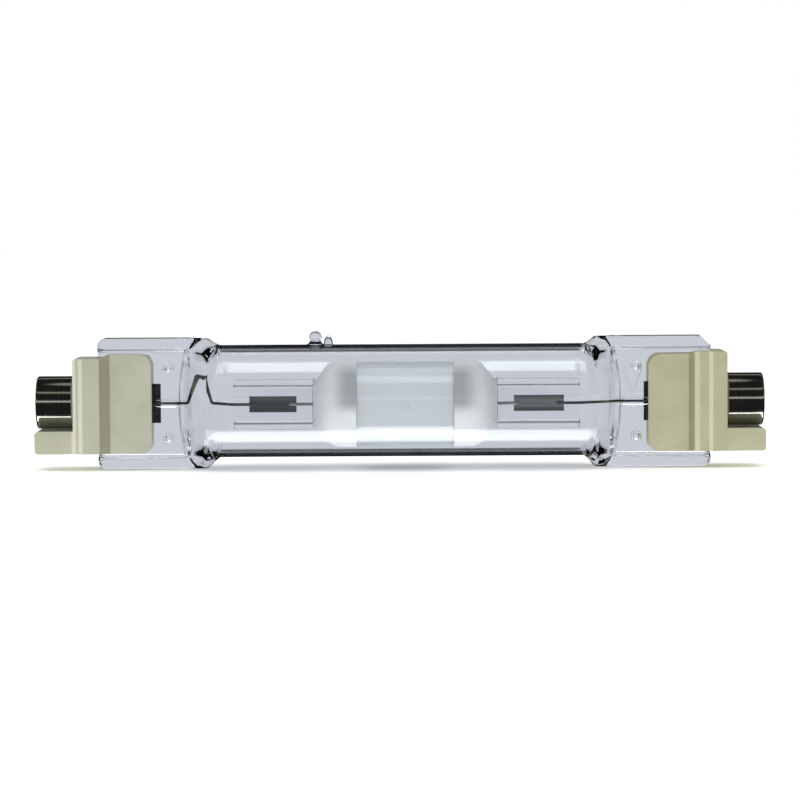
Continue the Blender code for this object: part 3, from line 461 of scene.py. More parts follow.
def let_light_through(tree, shader):
    """Rays from lamps and rays scattered by the pieces inside pass the glass, as they do a thin wall."""
    path = tree.nodes.new("ShaderNodeLightPath")
    clear = tree.nodes.new("ShaderNodeBsdfTransparent")
    clear.inputs["Color"].default_value = (*LIGHT_LET_THROUGH, 1.0)
    either = math_node(tree, "MAXIMUM", path.outputs["Is Shadow Ray"], path.outputs["Is Diffuse Ray"])
    mix = mixed_shader(tree, either, shader.outputs[0], clear.outputs[0])
    tree.links.new(mix, tree.nodes["Material Output"].inputs["Surface"])


def make_quartz(name, tint, deposit, clearness, edge_shade, edge):
    """Fused quartz: nearly colourless, with painted shade darkening it where it is seen edge-on, and faint
    lines along the drawn tube.
    """
    material, tree, shader, coordinates = new_material(name, 0.0, 0.0, clearness, QUARTZ_IOR)
    striae = use_group(tree, LINES, coordinates, Stretch=QUARTZ_STRETCH)
    colour = mixed(tree, striae.outputs["Mask"], tint, [channel * deposit for channel in tint])
    add_bump(tree, shader, striae.outputs["Height"], *QUARTZ_BUMP)
    # Painted shade: the glass turns toward its edge colour where it is seen edge-on, except on the shoulders
    facing = tree.nodes.new("ShaderNodeLayerWeight").outputs["Facing"]
    along = math_node(tree, "ABSOLUTE", axis_of(tree, coordinates, "X"))
    straight = math_node(tree, "SUBTRACT", 1.0, band(tree, along, *SHOULDER_SPAN, SHOULDER_FADE))
    edge_shade_mask = product(tree, ranged(tree, facing, *edge), straight)
    tree.links.new(mixed(tree, edge_shade_mask, colour, edge_shade), shader.inputs["Base Color"])
    let_light_through(tree, shader)
    return material


def make_ceramic():
    """Unglazed cream steatite: fine dark speckle, a pale mottle and a faint pressed grain, with painted shade
    in the creases beside the step and painted highlights along the ridges.
    """
    material, tree, shader, coordinates = new_material("cream_steatite", 0.55)
    grain = use_group(tree, GRAIN, coordinates, Grain_Scale=2600.0, Mottle_Scale=160.0)
    body = mixed(tree, grain.outputs["Mottle"], *CERAMIC_TONES)
    speckled = mixed(tree, product(tree, grain.outputs["Speckle"], SPECKLE_SHARE), body, CERAMIC_SPECKLE)
    along = axis_of(tree, coordinates, "X")
    on_side = ranged(tree, math_node(tree, "ABSOLUTE", axis_of(tree, coordinates, "Y")), *CAP_SIDE)
    # Painted shade: the creases beside the step are darkened on the front and back faces
    crease = along_bands(tree, along, CAP_CREASES, CREASE_FADE)
    crease_shaded = mixed(tree, product(tree, crease, on_side, CREASE_SHADE_SHARE), speckled, CERAMIC_CREASE_SHADE)
    # Painted highlight: the ridges of the bevel and step are lightened on the front and back faces
    ridges = along_bands(tree, along, CAP_RIDGES, RIDGE_FADE)
    highlighted = mixed(tree, product(tree, ridges, on_side, RIDGE_HIGHLIGHT_SHARE), crease_shaded, CERAMIC_RIDGE_HIGHLIGHT)
    firing = mixed(tree, ranged(tree, along, LEFT * MM, RIGHT * MM), *CERAMIC_FIRINGS)
    outwards = math_node(tree, "ABSOLUTE", along)
    shelf = ranged(tree, outwards, CAP_FACE, CAP_FACE + SHELF_FADE, 0.0, SHELF_SHARE)
    firing = mixed(tree, shelf, firing, SHELF_FIRING)
    tree.links.new(mixed(tree, 1.0, highlighted, firing, "MULTIPLY"), shader.inputs["Base Color"])
    rough = ranged(tree, grain.outputs["Mottle"], 0.0, 1.0, 0.48, 0.66)
    tree.links.new(rough, shader.inputs["Roughness"])
    shader.inputs["Specular IOR Level"].default_value = 0.35
    add_bump(tree, shader, grain.outputs["Height"], 0.35, 0.04 * MM)
    return material


def make_coat():
    """Baked zirconia: matt white and powdery, with painted shade on its upper part beside the window, and
    thin at its far end.
    """
    material, tree, shader, coordinates = new_material("white_zirconia_coat", 0.9)
    grain = use_group(tree, GRAIN, coordinates, Grain_Scale=1800.0, Mottle_Scale=260.0)
    colour = mixed(tree, grain.outputs["Mottle"], *COAT_TONES)
    dusted = mixed(tree, product(tree, grain.outputs["Speckle"], DUST_SHARE), colour, COAT_DUST)
    along = axis_of(tree, coordinates, "X")
    from_middle = math_node(tree, "ABSOLUTE", math_node(tree, "SUBTRACT", along, BURNER_X))
    # Painted shade: the coat darkens on its upper part near the window's edges
    near_window = ranged(tree, from_middle, *UPPER_SHADE_REACH, 1.0, 0.0)
    upper = band(tree, axis_of(tree, coordinates, "Z"), *UPPER_SHADE_HEIGHTS, UPPER_SHADE_FADE)
    upper_shaded = mixed(tree, product(tree, near_window, upper, UPPER_SHADE_SHARE), dusted, COAT_UPPER_SHADE)
    thin = ranged(tree, from_middle, *THINNED_REACH, 0.0, THINNED_SHARE)
    tree.links.new(mixed(tree, thin, upper_shaded, COAT_THINNED), shader.inputs["Base Color"])
    shader.inputs["Specular IOR Level"].default_value = 0.2
    add_bump(tree, shader, grain.outputs["Height"], 0.4, 0.05 * MM)
    return material


def make_cement():
    """Cap cement: matt, coarse and a little darker than the cap."""
    material, tree, shader, coordinates = new_material("cap_cement", 0.95)
    grain = use_group(tree, GRAIN, coordinates, Grain_Scale=1200.0, Mottle_Scale=400.0)
    colour = mixed(tree, grain.outputs["Speckle"], *CEMENT_TONES)
    tree.links.new(colour, shader.inputs["Base Color"])
    add_bump(tree, shader, grain.outputs["Height"], 0.8, 0.08 * MM)
    return material


def make_lined_metal(name, dark, light, roughness, stretch, bump, etched_half_height=None):
    """A metal whose tone and roughness vary along drawn, rolled or turned lines, etched along its middle."""
    material, tree, shader, coordinates = new_material(name, roughness[0], 1.0)
    lines = use_group(tree, LINES, coordinates, Stretch=stretch)
    colour = mixed(tree, lines.outputs["Mask"], dark, light)
    if etched_half_height:
        middle = band(tree, axis_of(tree, coordinates, "Z"), BURNER_Z - etched_half_height,
                      BURNER_Z + etched_half_height, ETCHED_FADE)
        colour = mixed(tree, middle, colour, ETCHED_TONE)
    tree.links.new(colour, shader.inputs["Base Color"])
    tree.links.new(ranged(tree, lines.outputs["Mask"], 0.0, 1.0, *roughness), shader.inputs["Roughness"])
    add_bump(tree, shader, lines.outputs["Height"], bump, 0.02 * MM)
    return material


def make_mercury():
    """Liquid mercury: a bright mirror with a slight mottle."""
    material, tree, shader, coordinates = new_material("liquid_mercury", 0.04, 1.0)
    grain = use_group(tree, GRAIN, coordinates, Grain_Scale=900.0, Mottle_Scale=600.0)
    tree.links.new(mixed(tree, grain.outputs["Mottle"], *MERCURY_TONES), shader.inputs["Base Color"])
    return material


QUARTZ = make_quartz("clear_fused_quartz", TUBE_TINT, 0.99, 1.0, TUBE_EDGE_SHADE, DRAWN_EDGE)
BURNER_QUARTZ = make_quartz("burner_fused_quartz", BURNER_TINT, 0.99, 1.0, BURNER_EDGE_SHADE, DRAWN_EDGE)
FOGGED_QUARTZ = make_quartz(
    "fogged_fused_quartz", FOGGED_TINT, 0.98, FOGGED_CLEARNESS, BURNER_EDGE_SHADE, DRAWN_EDGE)
PRESSED_QUARTZ = make_quartz(
    "pressed_fused_quartz", BURNER_TINT, 0.99, 1.0, PRESSED_EDGE_SHADE, PRESSED_EDGE)
CERAMIC = make_ceramic()
COAT = make_coat()
CEMENT = make_cement()
MOLYBDENUM = make_lined_metal(
    "rolled_molybdenum", (0.03, 0.032, 0.031), (0.065, 0.07, 0.066), (0.35, 0.55), ROLLED_STRETCH, 0.25)
ETCHED_MOLYBDENUM = make_lined_metal(
    "etched_molybdenum", (0.05, 0.053, 0.052), (0.09, 0.095, 0.092), (0.35, 0.55), ROLLED_STRETCH, 0.25,
    ETCHED_HALF_HEIGHT)
TUNGSTEN = make_lined_metal(
    "drawn_tungsten", (0.20, 0.20, 0.20), (0.34, 0.33, 0.32), (0.35, 0.5), (90.0, 2500.0, 2500.0), 0.2)
NICKEL = make_lined_metal(
    "turned_nickel", (0.42, 0.42, 0.375), (0.49, 0.49, 0.44), (0.08, 0.14), (3500.0, 40.0, 40.0), 0.12)
MERCURY = make_mercury()


# Mesh helpers
def arc(centre, radius, start, end, steps=ARC_STEPS):
    """Points on an arc in a plane, with its angles in degrees."""
    angles = [radians(start + (end - start) * step / steps) for step in range(steps + 1)]
    return [(centre[0] + radius * cos(a), centre[1] + radius * sin(a)) for a in angles]


def ease(t):
    """A smooth rise from 0 to 1."""
    return t * t * (3 - 2 * t)


def add_loop(bm, points, closed=True):
    """New vertices joined in a row by edges."""
    verts = [bm.verts.new(point) for point in points]
    pairs = list(zip(verts, verts[1:]))
    if closed:
        pairs.append((verts[-1], verts[0]))
    return verts, [bm.edges.new(pair) for pair in pairs]


def loft(rings, capped=True):
    """A mesh bridged from ring to ring, its ends closed by flat faces or left to meet."""
    bm = bmesh.new()
    first, last_edges = add_loop(bm, rings[0])
    last = first
    for points in rings[1:]:
        last, edges = add_loop(bm, points)
        bmesh.ops.bridge_loops(bm, edges=last_edges + edges)
        last_edges = edges
    if capped:
        bm.faces.new(first)
        bm.faces.new(last)
    bmesh.ops.remove_doubles(bm, verts=bm.verts, dist=MERGE_DISTANCE)
    bmesh.ops.recalc_face_normals(bm, faces=bm.faces)
    return bm


def turned(profile, centre, axis=ALONG_X, steps=TURNED_STEPS, closed=False):
    """A body turned round an axis from (distance along it, radius) points."""
    bm = bmesh.new()
    outward = ALONG_Z if axis != ALONG_Z else ALONG_X
    verts, edges = add_loop(bm, [axis * along + outward * radius for along, radius in profile], closed)
    bmesh.ops.spin(bm, geom=verts + edges, cent=(0.0, 0.0, 0.0), axis=axis, dvec=(0.0, 0.0, 0.0),
                   angle=2 * pi, steps=steps, use_merge=True, use_duplicate=False)
    bmesh.ops.remove_doubles(bm, verts=bm.verts, dist=MERGE_DISTANCE)
    bmesh.ops.recalc_face_normals(bm, faces=bm.faces)
    bmesh.ops.translate(bm, verts=bm.verts, vec=centre)
    return bm


def slab(outline, plane_axis, thickness):
    """A closed outline in the X-Z or X-Y plane, extruded evenly to both sides of it."""
    bm = bmesh.new()
    if plane_axis == ALONG_Y:
        points = [Vector((a, -thickness / 2, b)) for a, b in outline]
    else:
        points = [Vector((a, b, -thickness / 2)) for a, b in outline]
    face = bm.faces.new(add_loop(bm, points)[0])
    grown = bmesh.ops.extrude_face_region(bm, geom=[face])["geom"]
    moved = [element for element in grown if isinstance(element, bmesh.types.BMVert)]
    bmesh.ops.translate(bm, verts=moved, vec=plane_axis * thickness)
    bmesh.ops.recalc_face_normals(bm, faces=bm.faces)
    return bm


def scratch_object(name, bm):
    """An object from a mesh that is used up, for modifiers to work on."""
    mesh = bpy.data.meshes.new(name)
    bm.to_mesh(mesh)
    bm.free()
    obj = bpy.data.objects.new(name, mesh)
    bpy.context.scene.collection.objects.link(obj)
    return obj


def evaluated_bmesh(obj):
    """The mesh of an object after its modifiers."""
    graph = bpy.context.evaluated_depsgraph_get()
    graph.update()
    mesh = bpy.data.meshes.new_from_object(obj.evaluated_get(graph))
    bm = bmesh.new()
    bm.from_mesh(mesh)
    bpy.data.meshes.remove(mesh)
    return bm


def combine(base, others, operation):
    """A mesh with others joined to it, cut from it or crossed with it."""
    body = scratch_object("body", base)
    tools = [scratch_object("tool", other) for other in others]
    for tool in tools:
        modifier = body.modifiers.new("combine", "BOOLEAN")
        modifier.operation = operation
        modifier.solver = "EXACT"
        modifier.object = tool
    bm = evaluated_bmesh(body)
    for obj in [body] + tools:
        bpy.data.objects.remove(obj, do_unlink=True)
    return bm


def softened(bm, width):
    """A mesh whose sharp edges are rounded off."""
    body = scratch_object("body", bm)
    bevel = body.modifiers.new("bevel", "BEVEL")
    bevel.width = width
    bevel.segments = BEVEL_SEGMENTS
    bevel.limit_method = "ANGLE"
    bevel.angle_limit = radians(BEVEL_ANGLE)
    result = evaluated_bmesh(body)
    bpy.data.objects.remove(body, do_unlink=True)
    return result


def add_cavity(bm, cavity):
    """Put a hollow inside a solid: its faces point into the hollow."""
    bmesh.ops.recalc_face_normals(cavity, faces=cavity.faces)
    if cavity.calc_volume(signed=True) > 0:
        bmesh.ops.reverse_faces(cavity, faces=cavity.faces)
    mesh = bpy.data.meshes.new("cavity")
    cavity.to_mesh(mesh)
    cavity.free()
    bm.from_mesh(mesh)
    bpy.data.meshes.remove(mesh)


def finish_piece(name, bm, material, slot, *nodes, sharp=SHARP_EDGE):
    """Make a mesh a piece of the lamp in place of its CAD nodes."""
    mesh = bpy.data.meshes.new(name)
    bm.to_mesh(mesh)
    bm.free()
    mesh.shade_smooth()
    mesh.set_sharp_from_angle(angle=radians(sharp))
    mesh.materials.append(material)
    obj = bpy.data.objects.new(name, mesh)
    bpy.context.scene.collection.objects.link(obj)
    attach(obj, "root")
    if nodes:
        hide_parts(*nodes)
    return obj


# Outer tube
def round_quarter(radius):
    """A quarter of a circle, as (y, z) points from its top to its side."""
    angles = [radians(90.0 * step / QUARTER_STEPS) for step in range(QUARTER_STEPS + 1)]
    return [(radius * sin(a), radius * cos(a)) for a in angles]


def pressed_quarter(section, trim=0.0):
    """A quarter of an I-shaped seal's section, as (y, z) points from its top to its side."""
    half_height, half_depth, half_web, rim, corner = section
    top = half_height - trim
    slope = rim * RIM_SLOPE
    shelf = half_height - rim + slope
    foot = half_height - rim - slope
    corner = min(corner, (top - shelf) / 2)
    step = QUARTER_STEPS // 10
    points = [((half_depth - corner) * k / step, top) for k in range(step)]
    points += arc((half_depth - corner, top - corner), corner, 90, 0, 2 * step)[:-1]
    points += [(half_depth, top - corner + (shelf - top + corner) * k / step) for k in range(step)]
    for k in range(2 * step):
        t = k / (2 * step)
        points.append((half_depth - (half_depth - half_web) * ease(t), shelf - 2 * slope * t))
    points += [(half_web, foot * (1 - k / (4 * step))) for k in range(4 * step + 1)]
    return points


def blended(first, second, squeeze, spread):
    """A section between two others: squeezed in depth, spread in height."""
    return [(y0 + (y1 - y0) * squeeze, z0 + (z1 - z0) * spread)
            for (y0, z0), (y1, z1) in zip(first, second)]


def ring(x, quarter, axis_z, bow=0.0):
    """A closed ring at x from one quarter of a section, mirrored to all four."""
    right = quarter[:-1] + [(y, -z) for y, z in reversed(quarter)]
    left = [(-y, z) for y, z in reversed(right[1:-1])]
    top = quarter[0][1]
    return [Vector((x - bow * (z / top) ** 2, y, axis_z + z)) for y, z in right + left]


def shoulder_ring(side, t, inset, depth, heights, rims=False):
    """A ring of the shoulder: a circle that grows taller as it is squeezed, then takes the press's shape."""
    grown_by = ease(min(1.0, t * SHOULDER_SPREAD_RATE))
    height = heights[0] + (heights[1] - heights[0]) * grown_by
    section = [(depth * y, height * z) for y, z in round_quarter(1.0)]
    if rims:
        mix = ease(max(0.0, t - RIM_START) / (1 - RIM_START))
        half_height, half_depth, _, rim, corner = OUTER_PRESS
        section = blended(section, pressed_quarter((half_height, half_depth, depth, rim, corner)), mix, mix)
    x = TUBE_ENDS[side] + side * (SHOULDER_REACHES[side] * t - inset)
    return ring(x, section, AXIS_Z - PRESS_DROP * grown_by, side * SHOULDER_BOW * t)


def shoulder_turn(t):
    """How far round its quarter turn the shoulder's curve has come."""
    return max(0.0, t - SQUEEZE_START) / (1 - SQUEEZE_START) * pi / 2


def shoulder_rings(side):
    """Rings from the straight tube to where it is pressed flat, on its outside."""
    rings = []
    for step in range(SHOULDER_STEPS + 1):
        t = step / SHOULDER_STEPS
        depth = OUTER_PRESS[2] + (BULB_RADIUS - OUTER_PRESS[2]) * cos(shoulder_turn(t))
        rings.append(shoulder_ring(side, t, 0.0, depth, (BULB_RADIUS, OUTER_PRESS[0]), rims=True))
    return rings


def bore_rings(side):
    """Rings along the bore inside the shoulder, an even wall off the outside, to its blunt edge."""
    heights = (BULB_RADIUS - BULB_WALL, BULB_RADIUS - BULB_WALL)
    curved = SHOULDER_REACHES[side] * (1 - SQUEEZE_START)
    drop = BULB_RADIUS - OUTER_PRESS[2]
    rings = []
    for step in range(SHOULDER_STEPS + 1):
        t = step / SHOULDER_STEPS
        turn = shoulder_turn(t)
        wall = BULB_WALL * (1 - BORE_THINNING * sin(turn))
        fall = Vector((curved, -drop * sin(turn) * pi / 2)).normalized()
        depth = OUTER_PRESS[2] + drop * cos(turn) - wall * fall.x
        inset = -wall * fall.y
        rings.append(shoulder_ring(side, t, inset, depth, heights))
    for angle in (pi * step / ARC_STEPS for step in range(1, ARC_STEPS // 2 + 1)):
        edge = inset - BORE_EDGE_RADIUS * sin(angle)
        rings.append(shoulder_ring(side, 1.0, edge, depth * cos(angle), heights))
    return rings


def press_rings(side):
    """Rings along a press seal, whose rims round off at its end."""
    rings = []
    for step in range(ARC_STEPS + 1):
        angle = pi / 2 * step / ARC_STEPS
        back = PRESS_END_RADIUS * (1 - sin(angle))
        section = pressed_quarter(OUTER_PRESS, PRESS_END_RADIUS * (1 - cos(angle)))
        rings.append(ring(PRESS_ENDS[side] - side * back, section, SEAL_Z))
    return rings


def exhaust_tip():
    """The melted nose of the exhaust tube and the bead beside it."""
    root = BULB_RADIUS - BULB_WALL / 2
    top = BULB_RADIUS + TIP_HEIGHT
    nose = arc((top - TIP_NOSE_RADIUS, 0.0), TIP_NOSE_RADIUS, 0, 90 - TIP_NOSE_FOOT)
    flare = TIP_BASE_RADIUS - TIP_WAIST_RADIUS
    waist = arc((BULB_RADIUS - TIP_SINK + flare, TIP_BASE_RADIUS), flare, 270, 180)
    foot = [(root, TIP_BASE_RADIUS), (root, 0.0)]
    tip = turned(nose + waist + foot, Vector((TIP_X, 0.0, AXIS_Z)), ALONG_Z, TIP_STEPS)
    bead_top = BULB_RADIUS + TIP_BEAD_HEIGHT
    dome = [(root + (bead_top - root) * cos(a), TIP_BEAD_RADIUS * sin(a))
            for a in (pi / 2 * step / ARC_STEPS for step in range(ARC_STEPS + 1))]
    centre = Vector((TIP_X + TIP_BEAD_OFFSET, 0.0, AXIS_Z))
    bead = turned(dome + [(root, 0.0)], centre, ALONG_Z, TIP_STEPS)
    return [tip, bead]


def dimples(side):
    """The four small dents that the press jaws leave in one seal."""
    x = TUBE_ENDS[side] + side * (SHOULDER_LENGTH + DIMPLE_SETBACK)
    ball_radius = (DIMPLE_RADIUS ** 2 + DIMPLE_DEPTH ** 2) / (2 * DIMPLE_DEPTH)
    cutters = []
    for row in (-1, 1):
        for face in (-1, 1):
            bm = bmesh.new()
            bmesh.ops.create_uvsphere(bm, u_segments=DIMPLE_FACETS[0], v_segments=DIMPLE_FACETS[1],
                                      radius=ball_radius)
            centre = Vector((x, face * (OUTER_PRESS[2] + ball_radius - DIMPLE_DEPTH),
                             SEAL_Z + row * DIMPLE_SPACING / 2))
            bmesh.ops.translate(bm, verts=bm.verts, vec=centre)
            cutters.append(bm)
    return cutters


def funnel_grooves():
    """Two fine lines that meet in a V on the front of the right seal, where its quartz ran together."""
    grooves = []
    for top_x, foot_x in FUNNEL_LINES:
        start = Vector((top_x, -OUTER_PRESS[2], AXIS_Z + FUNNEL_TOP))
        end = Vector((foot_x, -OUTER_PRESS[2], AXIS_Z + FUNNEL_FOOT))
        grooves.append(wire_mesh([start, end], FUNNEL_LINE_RADIUS))
    return grooves


def capillary(side):
    """The narrow hollow that stays open round the lead where the tube is pressed on to it."""
    start = TUBE_ENDS[side] + side * (SHOULDER_REACHES[side] + CAPILLARY_SETBACK)
    end = ends_of(f"seal_foil_{SIDE_NAMES[side]}", side)[0] + side * CAPILLARY_LAP
    half = abs(end - start) / 2
    profile = [(half * sin(a), CAPILLARY_RADIUS * cos(a) ** CAPILLARY_BLUNTNESS)
               for a in (pi * (step / ARC_STEPS - 0.5) for step in range(1, ARC_STEPS))]
    profile = [(-half, 0.0)] + profile + [(half, 0.0)]
    bm = turned(profile, Vector(), ALONG_X, TIP_STEPS)
    bmesh.ops.scale(bm, vec=(1.0, CAPILLARY_FLATNESS, 1.0), verts=bm.verts)
    bmesh.ops.translate(bm, verts=bm.verts, vec=((start + end) / 2, 0.0, SEAL_Z))
    return bm


def make_outer_tube():
    """The quartz tube: pressed flat at both ends, hollow between, with its exhaust tip."""
    outside = (press_rings(LEFT)[::-1] + shoulder_rings(LEFT)[::-1]
               + shoulder_rings(RIGHT) + press_rings(RIGHT))
    body = loft(outside)
    corner = Vector((PRESS_ENDS[RIGHT], 0.0, SEAL_Z + PRESS_HEIGHT / 2))
    slope = (ALONG_X + ALONG_Z).normalized()
    cut = bmesh.ops.bisect_plane(body, geom=body.verts[:] + body.edges[:] + body.faces[:],
                                 plane_co=corner - slope * PRESS_CHAMFER * sqrt(0.5), plane_no=slope,
                                 clear_outer=True)
    rim = [element for element in cut["geom_cut"] if isinstance(element, bmesh.types.BMEdge)]
    bmesh.ops.holes_fill(body, edges=rim)
    bmesh.ops.recalc_face_normals(body, faces=body.faces)
    body = combine(body, exhaust_tip(), "UNION")
    body = combine(body, dimples(LEFT) + dimples(RIGHT) + funnel_grooves(), "DIFFERENCE")
    bmesh.ops.holes_fill(body, edges=[edge for edge in body.edges if edge.is_boundary])
    add_cavity(body, loft(bore_rings(LEFT)[::-1] + bore_rings(RIGHT), capped=False))
    for side in (LEFT, RIGHT):
        add_cavity(body, capillary(side))
    finish_piece("quartz_tube", body, QUARTZ, "clear_quartz", "outer_envelope", sharp=CRISP_EDGE)


# Arc tube
def dome_ring(side, share, grow=0.0):
    """One ring of the arc tube's domed end, which turns into its press as it narrows."""
    angle = share * pi / 2
    x = BURNER_X + side * (BURNER_HALF_STRAIGHT + BURNER_DOME * sin(angle))
    mix = ease(max(0.0, (share - PRESS_BLEND_START) / (1 - PRESS_BLEND_START)))
    section = blended(round_quarter(BURNER_RADIUS * cos(angle)), pressed_quarter(STUB_PRESS), mix, mix)
    return ring(x, grown(section, grow / max(cos(angle), STEEPEST)), BURNER_Z)


def grown(section, distance):
    """A section's quarter with each point moved square off its surface."""
    over_the_top = (-section[1][0], section[1][1])
    below_the_side = (section[-2][0], -section[-2][1])
    row = [over_the_top] + section + [below_the_side]
    points = []
    for before, (y, z), after in zip(row, section, row[2:]):
        run = Vector(after) - Vector(before)
        step = distance / run.length
        points.append((y - run.y * step, z + run.x * step))
    return points


def dome_rings(side, last_share=1.0, grow=0.0):
    """Rings over the dome, or a share of it, at a distance off its surface."""
    return [dome_ring(side, last_share * step / DOME_STEPS, grow) for step in range(DOME_STEPS + 1)]


def stub_rings(side):
    """Rings along one press seal of the arc tube, to its slightly rounded end."""
    end = STUB_ENDS[side]
    rings = []
    for step in range(ARC_STEPS // 2 + 1):
        angle = pi * step / ARC_STEPS
        section = pressed_quarter(STUB_PRESS, STUB_END_RADIUS * (1 - cos(angle)))
        rings.append(ring(end - side * STUB_END_RADIUS * (1 - sin(angle)), section, BURNER_Z))
    return rings


def chamber():
    """The hollow of the arc tube, a cylinder with domed ends."""
    radius = BURNER_RADIUS - BURNER_WALL
    dome = BURNER_DOME - BURNER_NECK_GLASS
    quarter = [pi / 2 * step / DOME_STEPS for step in range(DOME_STEPS + 1)]
    right = [(BURNER_HALF_STRAIGHT + dome * cos(a), radius * sin(a)) for a in quarter]
    left = [(-x, r) for x, r in reversed(right)]
    return turned(right + left, Vector((BURNER_X, 0.0, BURNER_Z)))


def burner_tip():
    """The small sealed nose at the front of the arc tube's window."""
    base = BURNER_RADIUS - BURNER_WALL / 2
    top = BURNER_RADIUS + BURNER_TIP_HEIGHT
    dome = [(-base - (top - base) * cos(a), BURNER_TIP_RADIUS * sin(a))
            for a in (pi / 2 * step / ARC_STEPS for step in range(ARC_STEPS + 1))]
    return turned(dome + [(-base, 0.0)], Vector((BURNER_X, 0.0, BURNER_Z)), ALONG_Y, ROD_STEPS)


def make_arc_tube():
    """The quartz burner: a domed chamber with a press seal at each end."""
    outside = (stub_rings(LEFT)[::-1] + dome_rings(LEFT)[::-1] + dome_rings(RIGHT) + stub_rings(RIGHT))
    body = combine(loft(outside), [burner_tip()], "UNION")
    for face in body.faces:
        if abs(face.calc_center_median().x - BURNER_X) > BURNER_NECK:
            face.material_index = PRESSED_FACES
    hollow = chamber()
    for face in hollow.faces:
        face.material_index = FOGGED_FACES
    add_cavity(body, hollow)
    burner = finish_piece("quartz_burner", body, BURNER_QUARTZ, "burner_quartz", "arc_tube")
    burner.data.materials.append(FOGGED_QUARTZ)
    burner.data.materials.append(PRESSED_QUARTZ)


def make_end_coat(side):
    """The baked white coat from the window's edge over the dome of the arc tube."""
    edge = {LEFT: WINDOW_LEFT, RIGHT: WINDOW_RIGHT}[side]
    outer = dome_rings(side, COAT_END_SHARE, COAT_GAP + COAT_THICKNESS)
    inner = dome_rings(side, COAT_END_SHARE - COAT_LIP_SHARE, COAT_GAP)
    first_outer = ring(edge, round_quarter(BURNER_RADIUS + COAT_GAP + COAT_THICKNESS), BURNER_Z)
    first_inner = ring(edge + side * COAT_LIP, round_quarter(BURNER_RADIUS + COAT_GAP), BURNER_Z)
    bm = loft([first_outer] + outer + inner[::-1] + [first_inner, first_outer], capped=False)
    name = SIDE_NAMES[side]
    finish_piece(f"white_coat_{name}", bm, COAT, "white_coat", f"end_coating_{name}", sharp=ROUNDED_EDGE)


# Wires and foils
def rounded_path(corners, radius):
    """A path through the corners, with each bend turned on a small arc."""
    path = [Vector(corners[0])]
    for before, corner, after in zip(corners, corners[1:], corners[2:]):
        corner = Vector(corner)
        back = Vector(before) - corner
        on = Vector(after) - corner
        reach = min(back.length / 2, on.length / 2, radius / tan(back.angle(on) / 2))
        start = corner + back.normalized() * reach
        end = corner + on.normalized() * reach
        for step in range(ARC_STEPS + 1):
            t = step / ARC_STEPS
            path.append(start * (1 - t) ** 2 + corner * 2 * t * (1 - t) + end * t ** 2)
    path.append(Vector(corners[-1]))
    return path


def wire_mesh(points, radius):
    """A round wire through the points, with closed ends."""
    curve = bpy.data.curves.new("wire", "CURVE")
    curve.dimensions = "3D"
    curve.bevel_depth = radius
    curve.bevel_resolution = WIRE_STEPS // 4
    curve.use_fill_caps = True
    spline = curve.splines.new("POLY")
    spline.points.add(len(points) - 1)
    for point, place in zip(spline.points, points):
        point.co = (*place, 1.0)
    obj = bpy.data.objects.new("wire", curve)
    bpy.context.scene.collection.objects.link(obj)
    bm = evaluated_bmesh(obj)
    bpy.data.objects.remove(obj, do_unlink=True)
    bmesh.ops.remove_doubles(bm, verts=bm.verts, dist=MERGE_DISTANCE)
    bmesh.ops.recalc_face_normals(bm, faces=bm.faces)
    return bm


def make_lead(side):
    """The molybdenum lead from the arc tube's foil to the outer foil, with its bend at the left."""
    name = SIDE_NAMES[side]
    low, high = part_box(f"lead_wire_{name}")
    start, end = ends_of(f"lead_wire_{name}", side)
    arc_y = low.y + LEAD_RADIUS
    seal_y = high.y - LEAD_RADIUS
    corners = [(start, arc_y, BURNER_Z), (STUB_ENDS[side] + side * 2 * LEAD_RADIUS, arc_y, BURNER_Z)]
    if side == LEFT:
        middle = (arc_y + seal_y) / 2
        corners += [(BEND_FOOT_INNER, middle, SEAL_Z), (BEND_PEAK_X, middle, SEAL_Z + BEND_PEAK_RISE),
                    (BEND_FOOT_OUTER, seal_y, SEAL_Z)]
    else:
        corners.append((TUBE_ENDS[side] + side * (SHOULDER_LENGTH - 4 * LEAD_RADIUS), seal_y, SEAL_Z))
    corners.append((end, seal_y, SEAL_Z))
    bm = wire_mesh(rounded_path(corners, BEND_RADIUS), LEAD_RADIUS)
    finish_piece(f"lead_{name}", bm, MOLYBDENUM, "molybdenum", f"lead_wire_{name}")


def make_rod(name, node, material, slot):
    """A straight round rod in the place of a CAD one."""
    low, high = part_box(node)
    radius = (high.z - low.z) / 2
    centre = (low + high) / 2
    length = high.x - low.x
    edge = radius / 4
    profile = [(-length / 2, 0.0), (-length / 2, radius - edge), (-length / 2 + edge, radius),
               (length / 2 - edge, radius), (length / 2, radius - edge), (length / 2, 0.0)]
    finish_piece(name, turned(profile, centre, ALONG_X, ROD_STEPS), material, slot, node)


def make_coil(side):
    """The tungsten wire wound on an electrode behind its tip."""
    name = SIDE_NAMES[side]
    node = f"electrode_coil_{name}"
    low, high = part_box(node)
    start = low.x + COIL_WIRE_RADIUS
    end = high.x - COIL_WIRE_RADIUS
    radius = (high.z - low.z) / 2 - COIL_WIRE_RADIUS
    centre = centre_of(node)
    steps = COIL_TURNS * COIL_STEPS
    points = []
    for step in range(steps + 1):
        angle = 2 * pi * COIL_TURNS * step / steps
        x = start + (end - start) * step / steps
        points.append(Vector((x, centre.y + radius * cos(angle), centre.z + radius * sin(angle))))
    finish_piece(f"coil_{name}", wire_mesh(points, COIL_WIRE_RADIUS), TUNGSTEN, "tungsten", node)


